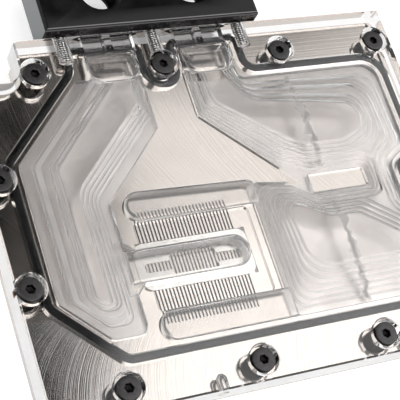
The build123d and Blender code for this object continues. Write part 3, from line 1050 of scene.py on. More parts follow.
def loft(name: str, rings: Sequence[Ring], closed: bool = False) -> bpy.types.Object:
    """Skin a row of rings.

    Args:
        name: Name of the new object.
        rings: Rings of the same number of points.
        closed: Whether the last ring joins the first, instead of a cap at each end.

    Returns:
        The new object, with its faces pointing outwards.
    """
    mesh_data = bmesh.new()
    rows = [[mesh_data.verts.new(point) for point in ring] for ring in rings]
    count = len(rows[0])
    pairs = list(zip(rows, rows[1:]))
    if closed:
        pairs.append((rows[-1], rows[0]))
    for low, high in pairs:
        for i in range(count):
            j = (i + 1) % count
            mesh_data.faces.new((low[i], low[j], high[j], high[i]))
    if not closed:
        mesh_data.faces.new(list(reversed(rows[0])))
        mesh_data.faces.new(rows[-1])
    bmesh.ops.recalc_face_normals(mesh_data, faces=mesh_data.faces)
    return finish_mesh(name, mesh_data)


def finish_mesh(name: str, mesh_data: bmesh.types.BMesh) -> bpy.types.Object:
    """Put a mesh into a new object of the scene.

    Args:
        name: The object's name.
        mesh_data: The mesh, which is freed.

    Returns:
        The object.
    """
    mesh = bpy.data.meshes.new(name)
    mesh_data.to_mesh(mesh)
    mesh_data.free()
    piece = bpy.data.objects.new(name, mesh)
    bpy.context.scene.collection.objects.link(piece)
    return piece


def discard(*pieces: bpy.types.Object) -> None:
    """Remove helper objects and their meshes."""
    for piece in pieces:
        mesh = piece.data
        bpy.data.objects.remove(piece)
        bpy.data.meshes.remove(mesh)


def bake(piece: bpy.types.Object) -> None:
    """Apply a piece's modifiers to its own mesh.

    Args:
        piece: The piece.
    """
    graph = bpy.context.evaluated_depsgraph_get()
    mesh = bpy.data.meshes.new_from_object(piece.evaluated_get(graph))
    piece.modifiers.clear()
    old = piece.data
    piece.data = mesh
    bpy.data.meshes.remove(old)
    mesh.name = piece.name


def turned(name: str, profile: Sequence[Pair], sides: int = 48) -> bpy.types.Object:
    """Skin a round shape from radii and their levels."""
    return loft(name, [circle_ring(radius, z, sides) for radius, z in profile])


def moved(piece: bpy.types.Object, x: float, y: float, z: float, turn: float = 0.0) -> bpy.types.Object:
    """Move a helper, after a turn about X.

    Args:
        piece: The helper.
        x: How far it goes along X, in millimetres.
        y: How far along Y.
        z: How far along Z.
        turn: Its turn in radians.

    Returns:
        The helper.
    """
    place = Matrix.Translation(Vector((x, y, z)) * MM)
    piece.data.transform(place @ Matrix.Rotation(turn, 4, "X") if turn else place)
    return piece


def soften(piece: bpy.types.Object, degrees: float, milled: int = -1, milled_degrees: float = 0.0) -> None:
    """Shade a mesh smooth but for its sharp edges.

    Args:
        piece: The object.
        degrees: Turn above which an edge is sharp.
        milled: Material index whose own edges have another limit.
        milled_degrees: That limit.
    """
    mesh_data = bmesh.new()
    mesh_data.from_mesh(piece.data)
    for face in mesh_data.faces:
        face.smooth = True
    for edge in mesh_data.edges:
        faces = edge.link_faces
        both = all(face.material_index == milled for face in faces)
        limit = math.radians(milled_degrees if both else degrees)
        edge.smooth = len(faces) == 2 and faces[0].normal.angle(faces[1].normal, 0.0) < limit
    mesh_data.to_mesh(piece.data)
    mesh_data.free()


def carve(body: bpy.types.Object, cutters: Sequence[bpy.types.Object],
          operation: str = "DIFFERENCE") -> None:
    """Cut or join solids with an exact boolean.

    Args:
        body: The solid that is changed.
        cutters: The other solids, which are removed afterwards.
        operation: Kind of boolean.
    """
    box = bpy.data.collections.new("cutters")
    bpy.context.scene.collection.children.link(box)
    for cutter in cutters:
        bpy.context.scene.collection.objects.unlink(cutter)
        box.objects.link(cutter)
    cut = body.modifiers.new("cut", "BOOLEAN")
    cut.operation = operation
    cut.solver = "EXACT"
    cut.operand_type = "COLLECTION"
    cut.collection = box
    cut.material_mode = "TRANSFER"
    bake(body)
    discard(*cutters)
    bpy.data.collections.remove(box)


def dress(piece: bpy.types.Object, slot: str, *replaced: str) -> None:
    """Hand a finished piece over to the frame.

    Args:
        piece: The piece, with its materials on.
        slot: Not used.
        *replaced: CAD nodes that it stands for.
    """
    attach(piece, BODY)
    if replaced:
        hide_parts(*replaced)
    log.info("%s: %d vertices", piece.name, len(piece.data.vertices))


def repaint(node: str, material: bpy.types.Material) -> None:
    """Give a CAD node's own object a better material."""
    piece = bpy.data.objects[node]
    for slot in piece.material_slots:
        slot.material = material
    log.info("%s: kept from the solids", node)


@dataclass
class Envelope:
    """Sizes that several sub-assemblies share, in millimetres."""

    left: float = -55.3
    right: float = 89.3
    front: float = -39.9
    back: float = 73.2
    shoulder: float = 59.9
    tab: float = -36.4
    outer_corner: float = 1.2
    shoulder_fillet: float = 5.0
    plate_face: float = 7.0
    top_face: float = 15.0
    air: float = 0.02
    centre_x: float = 8.1
    screw_pitch: float = 40.4
    corner_screw_x: float = 83.5
    cover_screw_seat: float = 11.72
    left_screw_x: float = -51.0
    left_screw_ys: Pair = (30.4, -2.1)
    right_screw_y: float = 14.0
    back_row: float = 62.2
    centre_row: float = 61.4
    front_row: float = -33.7
    terminal_screw_pitch: float = 29.4
    terminal_screw_z: float = 11.8
    terminal_tip: float = 66.2
    terminal_seat: float = 91.2
    port_offset: float = 15.0
    port_y: float = 85.7
    window_inner: float = 1.1
    window_outer: float = 8.2
    window_floor: float = 9.9
    window_height: float = 2.6

    def cover_screws(self) -> list[Pair]:
        """List the places of the screws that hold the top."""
        row = [self.centre_x - self.screw_pitch, self.centre_x, self.centre_x + self.screw_pitch,
               self.corner_screw_x]
        spots = [(x, self.centre_row if x == self.centre_x else self.back_row) for x in row]
        spots += [(x, self.front_row) for x in row]
        spots += [(self.left_screw_x, y) for y in self.left_screw_ys]
        return spots + [(self.corner_screw_x, self.right_screw_y)]

    def terminal_screws(self) -> list[float]:
        """List the places along X of the terminal's screws."""
        return [self.centre_x + i * self.terminal_screw_pitch for i in (-1, 0, 1)]

    def ports(self) -> list[tuple[float, int]]:
        """List the ports' places along X and their sides."""
        return [(self.centre_x + side * self.port_offset, side) for side in (-1, 1)]

    def window_cutters(self, name: str, front: float, back: float) -> list[bpy.types.Object]:
        """Make cutters of the windows in front of the ports.

        Args:
            name: Start of their names.
            front: Where they start along Y.
            back: Where they end.

        Returns:
            The cutters.
        """
        cutters = []
        for x, _ in self.ports():
            for start, end in ((x - self.window_outer, x - self.window_inner),
                               (x + self.window_inner, x + self.window_outer)):
                window = rectangle(start, front, end, back)
                cutters.append(window.prism(f"{name}_{len(cutters)}", self.window_floor,
                                            self.window_floor + self.window_height))
        return cutters

    def outline(self) -> Outline:
        """Outline the clear top."""
        corner = self.outer_corner
        return Outline([
            (self.left, self.front, corner),
            (self.right, self.front, corner),
            (self.right, self.back, corner),
            (self.tab, self.back, corner),
            (self.tab, self.shoulder, self.shoulder_fillet),
            (self.left, self.shoulder, corner),
        ])


@dataclass
class SubAssembly:
    """Part of the block, in millimetres, with the sizes and finishes that it shares."""

    space: Envelope
    wardrobe: Wardrobe


@dataclass
class SealRun(SubAssembly):
    """Middle line of the main seal and its section."""

    width: float = 2.5
    height: float = 1.8
    squeeze: float = 0.03
    groove_clearance: float = 0.1
    round_steps: int = 4
    round: float = 0.75
    left: float = -46.3
    front: float = -25.3
    right: float = 84.9
    back: float = 70.1
    neck_x: float = -19.6
    neck_bend: Pair = (-20.6, 62.9)
    left_top: float = 36.5
    left_low: float = -7.2
    front_bend_x: float = -28.7
    shelf: float = 58.25
    shelf_x: float = 36.2
    loop_reach: float = 5.3
    loop_round: float = 5.2
    jog_x: float = 77.0
    jog_half: float = 5.0
    jog_slope: float = 5.0
    corner: float = 8.0
    bend: float = 4.0
    tight: float = 2.5
    sharp: float = 50.0

    def line(self) -> Outline:
        """Outline the middle line, counter-clockwise from the back left."""
        loop = self.space.centre_x
        row = self.space.centre_row - self.loop_reach
        low = self.space.right_screw_y - self.jog_half
        high = self.space.right_screw_y + self.jog_half
        return Outline([
            (self.neck_x, self.back, self.tight),
            (*self.neck_bend, self.bend),
            (self.left, self.left_top, self.bend),
            (self.left, self.left_low, self.bend),
            (self.front_bend_x, self.front, self.bend),
            (self.right, self.front, self.corner),
            (self.right, low - self.jog_slope, self.bend),
            (self.jog_x, low, self.bend),
            (self.jog_x, high, self.bend),
            (self.right, high + self.jog_slope, self.bend),
            (self.right, self.shelf, self.corner),
            (self.shelf_x, self.shelf, self.bend),
            (self.shelf_x, self.back, self.tight),
            (loop + self.loop_reach, self.back, self.tight),
            (loop + self.loop_reach, row, self.loop_round),
            (loop - self.loop_reach, row, self.loop_round),
            (loop - self.loop_reach, self.back, self.tight),
        ], segments=10)

    def groove(self) -> bpy.types.Object:
        """Make the cutter of the groove, from below the top's underside."""
        line = self.line()
        half = self.width / 2 + self.groove_clearance
        low = self.space.plate_face - OVER
        high = self.space.plate_face + self.height
        rings = [line.ring(low, -half), line.ring(high, -half), line.ring(high, half), line.ring(low, half)]
        return loft("groove", rings, closed=True)

    def build(self) -> None:
        """Make the seal ring with its rounded section."""
        line = self.line()
        half = self.width / 2
        low = self.space.plate_face
        high = low + self.height - self.squeeze
        rings: list[Ring] = []
        for number, (x, z) in enumerate(((-half, high), (half, high), (half, low), (-half, low))):
            inward_x = self.round if x < 0 else -self.round
            inward_z = self.round if z == low else -self.round
            for along in quarter(self.round_steps):
                across, up = reversed(along) if number % 2 else along
                rings.append(line.ring(z + inward_z - inward_z * up, x + inward_x - inward_x * across))
        piece = loft("seal_ring", rings, closed=True)
        piece.data.materials.append(self.wardrobe.get(Finish.SEAL))
        soften(piece, self.sharp)
        dress(piece, "seal", "main_seal")


@dataclass
class Terraces:
    """Milled steps of a chamber, each hollowed by a round-nosed cutter, in millimetres."""

    start: float
    bottom: float
    rise: float
    fillet: float = 0.3
    groove: float = 0.8
    dip: float = 0.05
    arc_steps: int = 5
    fall_steps: int = 2
    floor_run: float = 1.6
    floor_rim: float = 0.1

    def hollow(self, outer: Ring, inner: Ring, low: float) -> list[Ring]:
        """Round out the step from one level's edge to the next one's.

        Args:
            outer: The step's own edge.
            inner: The edge of the level above it.
            low: Height of the own edge.

        Returns:
            The rings between them, without the first.
        """
        rings: list[Ring] = []
        for step in range(1, self.arc_steps + self.fall_steps + 1):
            if step > self.arc_steps:
                share = (step - self.arc_steps) / self.fall_steps
                along = self.groove + (1 - self.groove) * share
                depth = 1 + self.dip * (1 - share * share)
            else:
                share = step / self.arc_steps
                along = self.groove * share
                depth = (1 + self.dip) * (1 - (1 - share) ** 2)
            level = (low + self.rise * depth) * MM
            points = [first.lerp(second, along) for first, second in zip(outer, inner)]
            rings.append([Vector((point.x, point.y, level)) for point in points])
        return rings

    def cutter(self, name: str, levels: Sequence[Outline], first: int = 0) -> bpy.types.Object:
        """Skin the steps into one cutter.

        Args:
            name: Its name.
            levels: Outlines of its levels, the widest first.
            first: Number of the first of these levels.

        Returns:
            The cutter.
        """
        rings = [levels[0].ring(self.bottom)]
        low = self.start + first * self.rise
        if first:
            low -= self.rise
            rings.append(levels[0].ring(low))
        else:
            rings += [levels[0].ring(low - self.fillet * (1 - up), self.fillet * (1 - across))
                      for across, up in quarter(self.arc_steps)]
            if len(levels) > 1:
                rings.append(levels[1].ring(low))
            else:
                rings.append(levels[0].ring(low, self.fillet + self.floor_rim))
        steps = levels if first else levels[1:]
        for index, outline in enumerate(steps):
            last = index + 1 == len(steps)
            goal = outline.ring(low, self.floor_run) if last else steps[index + 1].ring(low)
            rings += self.hollow(rings[-1], goal, low)
            low += self.rise
        return loft(name, rings)


@dataclass
class ClearTop(SubAssembly):
    """Clear cast top with its chambers, groove and screw holes."""

    seal: SealRun
    chamfer: float = 0.5
    wall: float = 2.6
    first_depth: float = 1.6
    left_rise: float = 0.6
    right_levels: int = 8
    right_rise: float = 0.5
    corridor_levels: int = 4
    level_round: float = 0.8
    chamber_corner: float = 3.0
    sharp_corner: float = 1.0
    left_mouth_x: Pair = (-19.8, 1.3)
    left_land_back: float = 41.9
    left_land_front: float = 20.4
    left_right: float = -20.3
    left_front: float = -19.2
    left_foot: float = -31.0
    left_end_margin: float = 1.1
    left_runs: tuple[float, ...] = (0.0, 8.6, 9.5, 6.0, 9.5, 8.5, 8.3, 4.2)
    left_shares: tuple[float, ...] = (0.0, 0.36, 0.40, 0.83, 0.87, 1.0)
    land_shares: tuple[float, ...] = (0.0, 0.39, 0.53, 0.67, 0.82, 1.0)
    shelf_shares: tuple[float, ...] = (0.0, 0.24, 0.28, 0.50, 0.54, 0.775, 0.815, 1.0)
    island: tuple[float, float, float, float] = (44.2, 14.3, 63.9, 20.2)
    land_back: Pair = (15.4, 44.5)
    land_tip: Pair = (36.0, 23.9)
    land_notch: Pair = (36.5, 18.9)
    core_side: Pair = (23.6, 20.6)
    mouth_right: float = 33.0
    wall_run: float = 13.3
    front_run: float = 12.2
    shelf_run: float = 13.65
    jog_run: Pair = (6.6, 6.1)
    jog_back_run: float = 7.0
    jog_margin: float = 1.4
    island_run: Pair = (7.6, 8.4)
    island_end_run: float = 2.0
    land_back_run: Pair = (5.1, 2.5)
    land_tip_run: Pair = (4.0, 8.1)
    land_notch_run: Pair = (3.0, -9.4)
    core_side_run: Pair = (8.4, -8.1)
    front_corner_run: float = 9.9
    mouth_runs: Pair = (4.1, -6.0)
    shelf_end_run: Pair = (-2.0, -8.15)
    back_meet: Pair = (74.0, 60.0)
    front_meet: Pair = (67.4, 55.0)
    shelf_from: float = 48.0
    gap_corner: float = 0.05
    gap_lap: float = 0.4
    jet_half: float = 5.0
    jet_end: float = 16.9
    jet_depth: float = 3.6
    flare: float = 3.0
    outlet_depth: float = 2.6
    outlet_inner: float = 13.6
    outlet_left: float = -16.7
    back_outlet: Pair = (22.8, 21.4)
    front_outlet: float = 22.7
    outlet_corner: float = 4.4
    overlap: float = 4.0
    lap: float = 1.6
    pocket_front: float = 57.5
    pocket_back: float = 68.0
    pocket_depth: float = 6.2
    pocket_inner: float = 7.8
    pocket_outer: float = 8.8
    throat_depth: float = 4.4
    throat_sides: Pair = (5.0, 4.0)
    throat_length: float = 12.0
    mouth_lap: float = 2.5
    bore_radius: float = 4.4
    shank_radius: float = 2.2
    seat: float = 11.7
    tap_root: float = 2.02
    tap_crest: float = 2.3
    tap_pitch: float = 0.7
    light_radius: float = 1.6
    light_depth: float = 5.2
    light_xs: Pair = (-5.2, 56.0)
    land_x: Pair = (-15.45, 21.05)
    land_y: float = 13.45
    jet_seat: Pair = (17.85, 7.25)
    land_bottom: float = 6.05
    wall_slope: float = 0.15
    slot_reach: Pair = (-18.0, 21.5)
    foot: float = 0.9
    flare_foot: float = 0.6
    pocket_foot: float = 1.3
    pocket_rounds: Pair = (4.5, 1.5)
    bore_lead: float = 0.25
    sheer: float = 0.1
    jet_flat: float = 0.05
    flare_rounds: Pair = (0.8, 1.5)
    land_corner: float = 1.0
    nose_steps: float = 5.4
    tap_drill: float = 0.4
    bore_sides: int = 56
    light_sides: int = 32
    tap_sides: int = 28
    sharp: float = 30.0
    milled_sharp: float = 42.0

    def left_shapes(self) -> list[Outline]:
        """Outline the levels of the chamber from the left port to the jet pocket."""
        mouth = self.pocket_front + self.mouth_lap
        wall = self.seal.left + self.wall
        base = Outline([
            (self.left_mouth_x[1], mouth, 0.0),
            (self.left_mouth_x[0], mouth, 0.0),
            (wall, self.seal.left_top - self.left_end_margin, self.chamber_corner),
            (wall, self.seal.left_low + self.left_end_margin, self.chamber_corner),
            (self.left_foot, self.left_front, self.chamber_corner),
            (self.left_right, self.left_front, self.chamber_corner),
            (self.left_right, self.left_land_front, self.sharp_corner),
            (self.left_mouth_x[1], self.left_land_back, self.sharp_corner),
        ])
        shapes = []
        for wall, land in zip(self.left_shares, self.land_shares):
            shares = [wall] * 5 + [land] * 3
            shapes.append(base.inset([run * share for run, share in zip(self.left_runs, shares)]))
        return shapes

    def right_edges(self) -> list[tuple[Corner, Pair]]:
        """List the right-hand chamber's corners at the wall and their runs to its deepest level."""
        x0, y0, x1, y1 = self.island
        sharp, round_corner = self.sharp_corner, self.chamber_corner
        bend = self.seal.bend
        edge = self.seal.right - self.wall
        jog = self.seal.jog_x - self.wall
        front = self.seal.front + self.wall
        shelf = self.seal.shelf - self.wall
        mouth = self.pocket_front + self.mouth_lap
        low = self.space.right_screw_y - self.seal.jog_half - self.jog_margin
        high = self.space.right_screw_y + self.seal.jog_half + self.jog_margin
        outer = self.seal.corner - self.wall
        slope = self.seal.jog_slope
        return [
            ((self.mouth_right, mouth, 0.0), (self.mouth_runs[1], 0.0)),
            ((self.land_back[0], mouth, 0.0), (self.mouth_runs[0], 0.0)),
            ((*self.land_back, sharp), self.land_back_run),
            ((*self.land_tip, self.gap_corner), self.land_tip_run),
            ((x0, y1, self.gap_corner), (self.island_end_run, self.island_run[1])),
            ((x1, y1, sharp), self.island_run),
            ((x1, y0, sharp), (self.island_run[0], -self.island_run[1])),
            ((x0, y0, self.gap_corner), (self.island_end_run, -self.island_run[1])),
            ((*self.land_notch, self.gap_corner), self.land_notch_run),
            ((*self.core_side, round_corner), self.core_side_run),
            ((self.core_side[0], front, round_corner), (self.front_corner_run, self.front_run)),
            ((edge, front, outer), (-self.wall_run, self.front_run)),
            ((edge, low - slope, bend), (-self.wall_run, -self.jog_run[0])),
            ((jog, low, bend), (-self.wall_run, -self.jog_run[1])),
            ((jog, high, bend), (-self.wall_run, self.jog_run[1])),
            ((edge, high + slope, bend), (-self.wall_run, self.jog_back_run)),
            ((edge, shelf, outer), (-self.wall_run, -self.shelf_run)),
            ((self.mouth_right, shelf, bend + self.wall), self.shelf_end_run),
        ]

    def blended(self, edges: list[tuple[Corner, Pair]], level: int) -> Outline:
        """Outline one level between the walls and the deepest level.

        Args:
            edges: Corners at the wall and their runs.
            level: Number of the level.

        Returns:
            Its outline.
        """
        corners: list[Corner] = []
        for (x, y, radius), (run_x, run_y) in edges:
            part = self.shelf_shares[level] if y > self.shelf_from else level / (self.right_levels - 1)
            rounded = radius + level * self.level_round if radius else 0.0
            corners.append((x + run_x * part, y + run_y * part, rounded))
        return Outline(corners)

    def right_cutters(self) -> list[bpy.types.Object]:
        """Make the cutters of the right-hand chamber: rings round the island and two basins."""
        edges = self.right_edges()
        x0, y0, _, y1 = self.island
        run_y = self.island_run[1]
        ends = []
        for meet, y, run in ((self.back_meet, y1, run_y), (self.front_meet, y0, -run_y)):
            ends.append(((meet[0], y, self.sharp_corner), (meet[1] - meet[0], run)))
        basins = {"back_basin": edges[:5] + [ends[0]] + edges[15:], "front_basin": edges[7:13] + [ends[1]]}
        face = self.space.plate_face
        steps = Terraces(face + self.first_depth, face - OVER, self.right_rise)
        notch_x, notch_y = self.land_notch
        tip_x, tip_y = self.land_tip
        lap = self.gap_lap
        gap = Outline([(notch_x, notch_y - lap, 0.0), (x0, y0 - lap, 0.0), (x0, y1 + lap, 0.0),
                       (tip_x, tip_y + lap, 0.0)], least=0.03)
        low, high = self.corridor_levels, self.right_levels
        cutters = [steps.cutter("corridor", [self.blended(edges, level) for level in range(low)]),
                   gap.prism("island_gap", face - OVER, face + self.first_depth)]
        for name, basin in basins.items():
            shapes = [self.blended(basin, level) for level in range(low, high)]
            cutters.append(steps.cutter(name, shapes, low))
        return cutters

    def slot_cutter(self, name: str, outline: Outline, depth: float, fillet: float) -> bpy.types.Object:
        """Make the cutter of one pocket in the underside.

        Args:
            name: Its name.
            outline: Its outline.
            depth: Its depth.
            fillet: Radius of its foot.

        Returns:
            The cutter.
        """
        face = self.space.plate_face
        return Terraces(face + depth, face - OVER, depth, fillet).cutter(name, [outline])

    def slot_cutters(self) -> list[bpy.types.Object]:
        """Make the cutters of the jet pocket and the outlets."""
        entry, half = self.left_right, self.jet_half
        tip = half - self.jet_flat
        slot = Outline([(entry - self.lap, -half, 0.0), (self.jet_end, -half, tip),
                        (self.jet_end, half, tip), (entry - self.lap, half, 0.0)], segments=FINE)
        wide = half + self.flare
        near, far = self.flare_rounds
        flare = Outline([
            (entry - self.flare, -wide, 0.0), (entry, -wide, near), (entry + self.flare, -half, far),
            (entry + self.flare, half, far), (entry, wide, near), (entry - self.flare, wide, 0.0),
        ])
        right = self.core_side[0] + self.lap
        corner = self.outlet_corner
        back = Outline([
            (self.outlet_left, self.outlet_inner, corner), (right, self.outlet_inner, 0.0),
            (right, self.core_side[1], 0.0), (self.core_side[0], self.back_outlet[1], self.chamber_corner),
            (self.outlet_left, self.back_outlet[0], corner),
        ], segments=FINE)
        front = Outline([
            (self.outlet_left, -self.front_outlet, corner), (right, -self.front_outlet, 0.0),
            (right, -self.outlet_inner, 0.0), (self.outlet_left, -self.outlet_inner, corner),
        ], segments=FINE)
        return [
            self.slot_cutter("jet_slot", slot, self.jet_depth, self.foot),
            self.slot_cutter("jet_flare", flare, self.first_depth + self.left_rise, self.flare_foot),
            self.slot_cutter("back_outlet", back, self.outlet_depth, self.foot),
            self.slot_cutter("front_outlet", front, self.outlet_depth, self.foot),
        ]

    def pocket_cutters(self) -> list[bpy.types.Object]:
        """Make the cutters of the pockets below the ports and of their throats."""
        cutters = []
        for x, side in self.space.ports():
            low = x - (self.pocket_inner if side > 0 else self.pocket_outer)
            high = x + (self.pocket_outer if side > 0 else self.pocket_inner)
            front, back = self.pocket_front, self.pocket_back
            near, far = self.pocket_rounds
            pocket = Outline([(low, front, near), (high, front, near), (high, back, far), (low, back, far)],
                             segments=FINE)
            throat = rectangle(x - self.throat_sides[0], front - self.throat_length,
                               x + self.throat_sides[1], front + self.overlap, self.chamber_corner)
            cutters.append(self.slot_cutter(f"pocket_{side}", pocket, self.pocket_depth, self.pocket_foot))
            cutters.append(self.slot_cutter(f"throat_{side}", throat, self.throat_depth, self.pocket_foot))
        return cutters

    def window_cutters(self) -> list[bpy.types.Object]:
        """Make the cutters of the windows between the pockets and the terminal."""
        return self.space.window_cutters("window", self.pocket_back - OVER, self.space.back + OVER)

    def bore_cutters(self) -> list[bpy.types.Object]:
        """Make the cutters of the screw holes and the light holes."""
        cutters = []
        space = self.space
        low, high = space.plate_face - OVER, space.top_face + OVER
        rim, wide = self.bore_lead, self.bore_radius + self.bore_lead
        profile = ((self.shank_radius, low), (self.shank_radius, self.seat), (self.bore_radius, self.seat),
                   (self.bore_radius, space.top_face - rim), (wide, space.top_face), (wide, high))
        for number, (x, y) in enumerate(space.cover_screws()):
            cutters.append(moved(turned(f"bore_{number}", profile, self.bore_sides), x, y, 0.0))
        middle = (space.plate_face + space.top_face) / 2
        radius = self.light_radius
        nose = [QUARTER * step / self.nose_steps for step in range(int(self.nose_steps) + 1)]
        profile = [(radius, -OVER)]
        profile += [(radius * math.cos(b), self.light_depth - radius * (1 - math.sin(b))) for b in nose]
        for number, x in enumerate(self.light_xs):
            hole = turned(f"light_{number}", profile, self.light_sides)
            cutters.append(moved(hole, x, space.front, middle, -QUARTER))
        return cutters

    def tapped_cutters(self) -> list[bpy.types.Object]:
        """Make the cutters of the holes that the terminal's screws are tapped into."""
        space = self.space
        turns = int((space.back - space.terminal_tip + 2 * OVER) / self.tap_pitch)
        profile = [(self.tap_drill, -self.tap_pitch), (self.tap_root, 0.0)]
        for turn in range(turns):
            profile.append((self.tap_crest, (turn + 0.5) * self.tap_pitch))
            profile.append((self.tap_root, (turn + 1.0) * self.tap_pitch))
        return [moved(turned(f"tapped_{number}", profile, self.tap_sides), x, space.terminal_tip - OVER,
                      space.terminal_screw_z, -QUARTER) for number, x in enumerate(space.terminal_screws())]

    def build(self) -> None:
        """Make the top from its outline, its land and all its cutters."""
        base, top = self.space.plate_face, self.space.top_face
        face = base + self.space.air
        outline = self.space.outline()
        body = loft("clear_cover", [outline.ring(face), outline.ring(top - self.chamfer),
                                    outline.ring(top, self.chamfer)])
        shape = rectangle(self.land_x[0], -self.land_y, self.land_x[1], self.land_y,
                          self.land_corner)
        land = shape.prism("land", self.land_bottom, face + 0.5)
        for solid in (body, land):
            solid.data.materials.append(self.wardrobe.get(Finish.POLISHED))
        carve(body, [land], "UNION")
        x, y = self.jet_seat
        window = rectangle(-x, -y, x, y).prism("jet_seat", self.land_bottom - OVER, face)
        steps = Terraces(base + self.first_depth, base - OVER, self.left_rise)
        groups = {
            Finish.MILLED: [steps.cutter("left_chamber", self.left_shapes())] + self.right_cutters(),
            Finish.SLOT: self.slot_cutters(),
            Finish.POCKET: self.pocket_cutters(),
            Finish.BORED: self.bore_cutters() + self.window_cutters(),
            Finish.POLISHED: [self.seal.groove(), window],
            Finish.TAPPED: self.tapped_cutters(),
        }
        for finish, cutters in groups.items():
            for cutter in cutters:
                cutter.data.materials.append(self.wardrobe.get(finish))
        carve(body, [cutter for cutters in groups.values() for cutter in cutters])
        self.refinish(body)
        dress(body, "clear_top", "clear_top")

    def refinish(self, body: bpy.types.Object) -> None:
        """Sort out the finishes that a cutter's own doesn't settle, then shade the top.

        Args:
            body: The clear top.
        """
        body.data.materials.append(self.wardrobe.get(Finish.SAWN))
        names = [slot.name for slot in body.data.materials]
        milled, slot, polished, sawn = (names.index(finish.value) for finish in (
            Finish.MILLED, Finish.SLOT, Finish.POLISHED, Finish.SAWN))
        space = self.space
        for part in body.data.polygons:
            x, y = part.center.x / MM, part.center.y / MM
            steep = abs(part.normal.z) < self.wall_slope
            if part.material_index == milled and steep:
                part.material_index = polished
            elif part.material_index == slot and not self.slot_reach[0] < x < self.slot_reach[1]:
                part.material_index = milled
            elif part.material_index == polished and steep:
                outside = min(x - space.left, y - space.front) < self.sheer
                if outside or (x < space.tab + self.sheer and y > space.shoulder - self.sheer):
                    part.material_index = sawn
        soften(body, self.sharp, milled, self.milled_sharp)


class SetTree:
    """Geometry Nodes tree that sets one shape on points."""

    def __init__(self, name: str, kinds: dict[str, str]) -> None:
        """Start the tree with its named inputs.

        Args:
            name: The tree's name.
            kinds: Kinds of the inputs between the points and the finish, by name.
        """
        self.tree = bpy.data.node_groups.new(name, "GeometryNodeTree")
        self.graph = Graph(self.tree)
        face = self.tree.interface
        for label, kind in {"Geometry": "Geometry", **kinds, "Finish": "Material"}.items():
            face.new_socket(label, in_out="INPUT", socket_type=f"NodeSocket{kind}")
        face.new_socket("Geometry", in_out="OUTPUT", socket_type="NodeSocketGeometry")
        given = self.graph.add("NodeGroupInput").outputs
        self.given = {socket.name: Term(self.graph, socket) for socket in given}

    def thread(self, radius: Term, length: Term, points: int, share: float) -> Term:
        """Wind a thread with a square section set on its corner.

        Args:
            radius: Radius of its middle line.
            length: Length of its middle line along the axis.
            points: Number of points in one turn.
            share: Radius of the section as a share of half the pitch.

        Returns:
            The thread.
        """
        graph, pitch = self.graph, self.given["Pitch"]
        spiral = graph.term("GeometryNodeCurveSpiral", {
            "Resolution": points, "Rotations": length / pitch, "Start Radius": radius,
            "End Radius": radius, "Height": length})
        upright = graph.term("GeometryNodeSetCurveNormal", {"Curve": spiral}, mode="Z_UP")
        section = graph.term("GeometryNodeCurvePrimitiveCircle", {
            "Resolution": 4, "Radius": pitch * 0.5 * share})
        thread = graph.term("GeometryNodeCurveToMesh", {
            "Curve": upright, "Profile Curve": section, "Fill Caps": True})
        return graph.term("GeometryNodeSetShadeSmooth", {"Geometry": thread, "Shade Smooth": False},
                          domain="FACE")

    def lifted(self, shape: Term, height: Term) -> Term:
        """Move a shape along Z."""
        return self.graph.term("GeometryNodeTransform", {
            "Geometry": shape, "Translation": self.graph.upright(height)})

    def finish(self, shape: Term, turns: dict[str, Term]) -> None:
        """Set the shape on the points, make the copies real and give them the finish.

        Args:
            shape: The shape.
            turns: The copies' rotation, by the input's name.
        """
        graph = self.graph
        points = graph.term("GeometryNodeMeshToPoints", {"Mesh": self.given["Geometry"]})
        spread = graph.term("GeometryNodeInstanceOnPoints", {"Points": points, "Instance": shape, **turns})
        real = graph.term("GeometryNodeRealizeInstances", {"Geometry": spread})
        painted = graph.term("GeometryNodeSetMaterial", {
            "Geometry": real, "Material": self.given["Finish"]})
        graph.add("NodeGroupOutput", {"Geometry": painted})

    def run(self, name: str, points: Sequence[Vector], values: dict[str, Any]) -> bpy.types.Object:
        """Set the copies and turn them into a plain mesh.

        Args:
            name: Name of the piece.
            points: Where the copies are, in metres.
            values: Inputs of the tree by name.

        Returns:
            The piece.
        """
        mesh = bpy.data.meshes.new(name)
        mesh.from_pydata([tuple(point) for point in points], [], [])
        piece = bpy.data.objects.new(name, mesh)
        bpy.context.scene.collection.objects.link(piece)
        modifier = piece.modifiers.new("copies", "NODES")
        modifier.node_group = self.tree
        for item in self.tree.interface.items_tree:
            if item.in_out == "INPUT" and item.name in values:
                modifier[item.identifier] = values[item.name]
        bake(piece)
        return piece


class ScrewTree(SetTree):
    """Tree that sets threaded screws on points, each with a turn of its own."""

    # How far the core reaches into the thread, in metres.
    SINK = 0.00003

    def __init__(self) -> None:
        """Build the tree."""
        sizes = dict.fromkeys(("Thread Radius", "Pitch", "Length", "Turn"), "Float")
        super().__init__("screw_set", {"Head": "Object", **sizes})
        graph, given = self.graph, self.given
        length, half = given["Length"], given["Pitch"] * 0.5
        root = given["Thread Radius"] - half
        head = graph.term("GeometryNodeObjectInfo", {"Object": given["Head"]}, output="Geometry")
        core = graph.term("GeometryNodeMeshCylinder", {
            "Vertices": 24, "Radius": root + self.SINK, "Depth": length})
        run = length - given["Pitch"]
        thread = self.thread(root, run, points=18, share=0.98)
        joined = graph.add("GeometryNodeJoinGeometry")
        for part in (head, self.lifted(core, length * -0.5), self.lifted(thread, (run + half) * -1.0)):
            graph.feed(joined.inputs["Geometry"], part)
        chance = graph.add("FunctionNodeRandomValue", data_type="FLOAT")
        for name, value in (("Min_001", 0.0), ("Max_001", 1.0), ("Seed", 7)):
            graph.feed(pick(chance.inputs, name), value)
        lot = Term(graph, pick(chance.outputs, "Value_001"))
        turned = graph.term("FunctionNodeEulerToRotation", {"Euler": graph.upright(lot * given["Turn"])})
        self.finish(Term(graph, joined.outputs[0]), {"Rotation": turned})


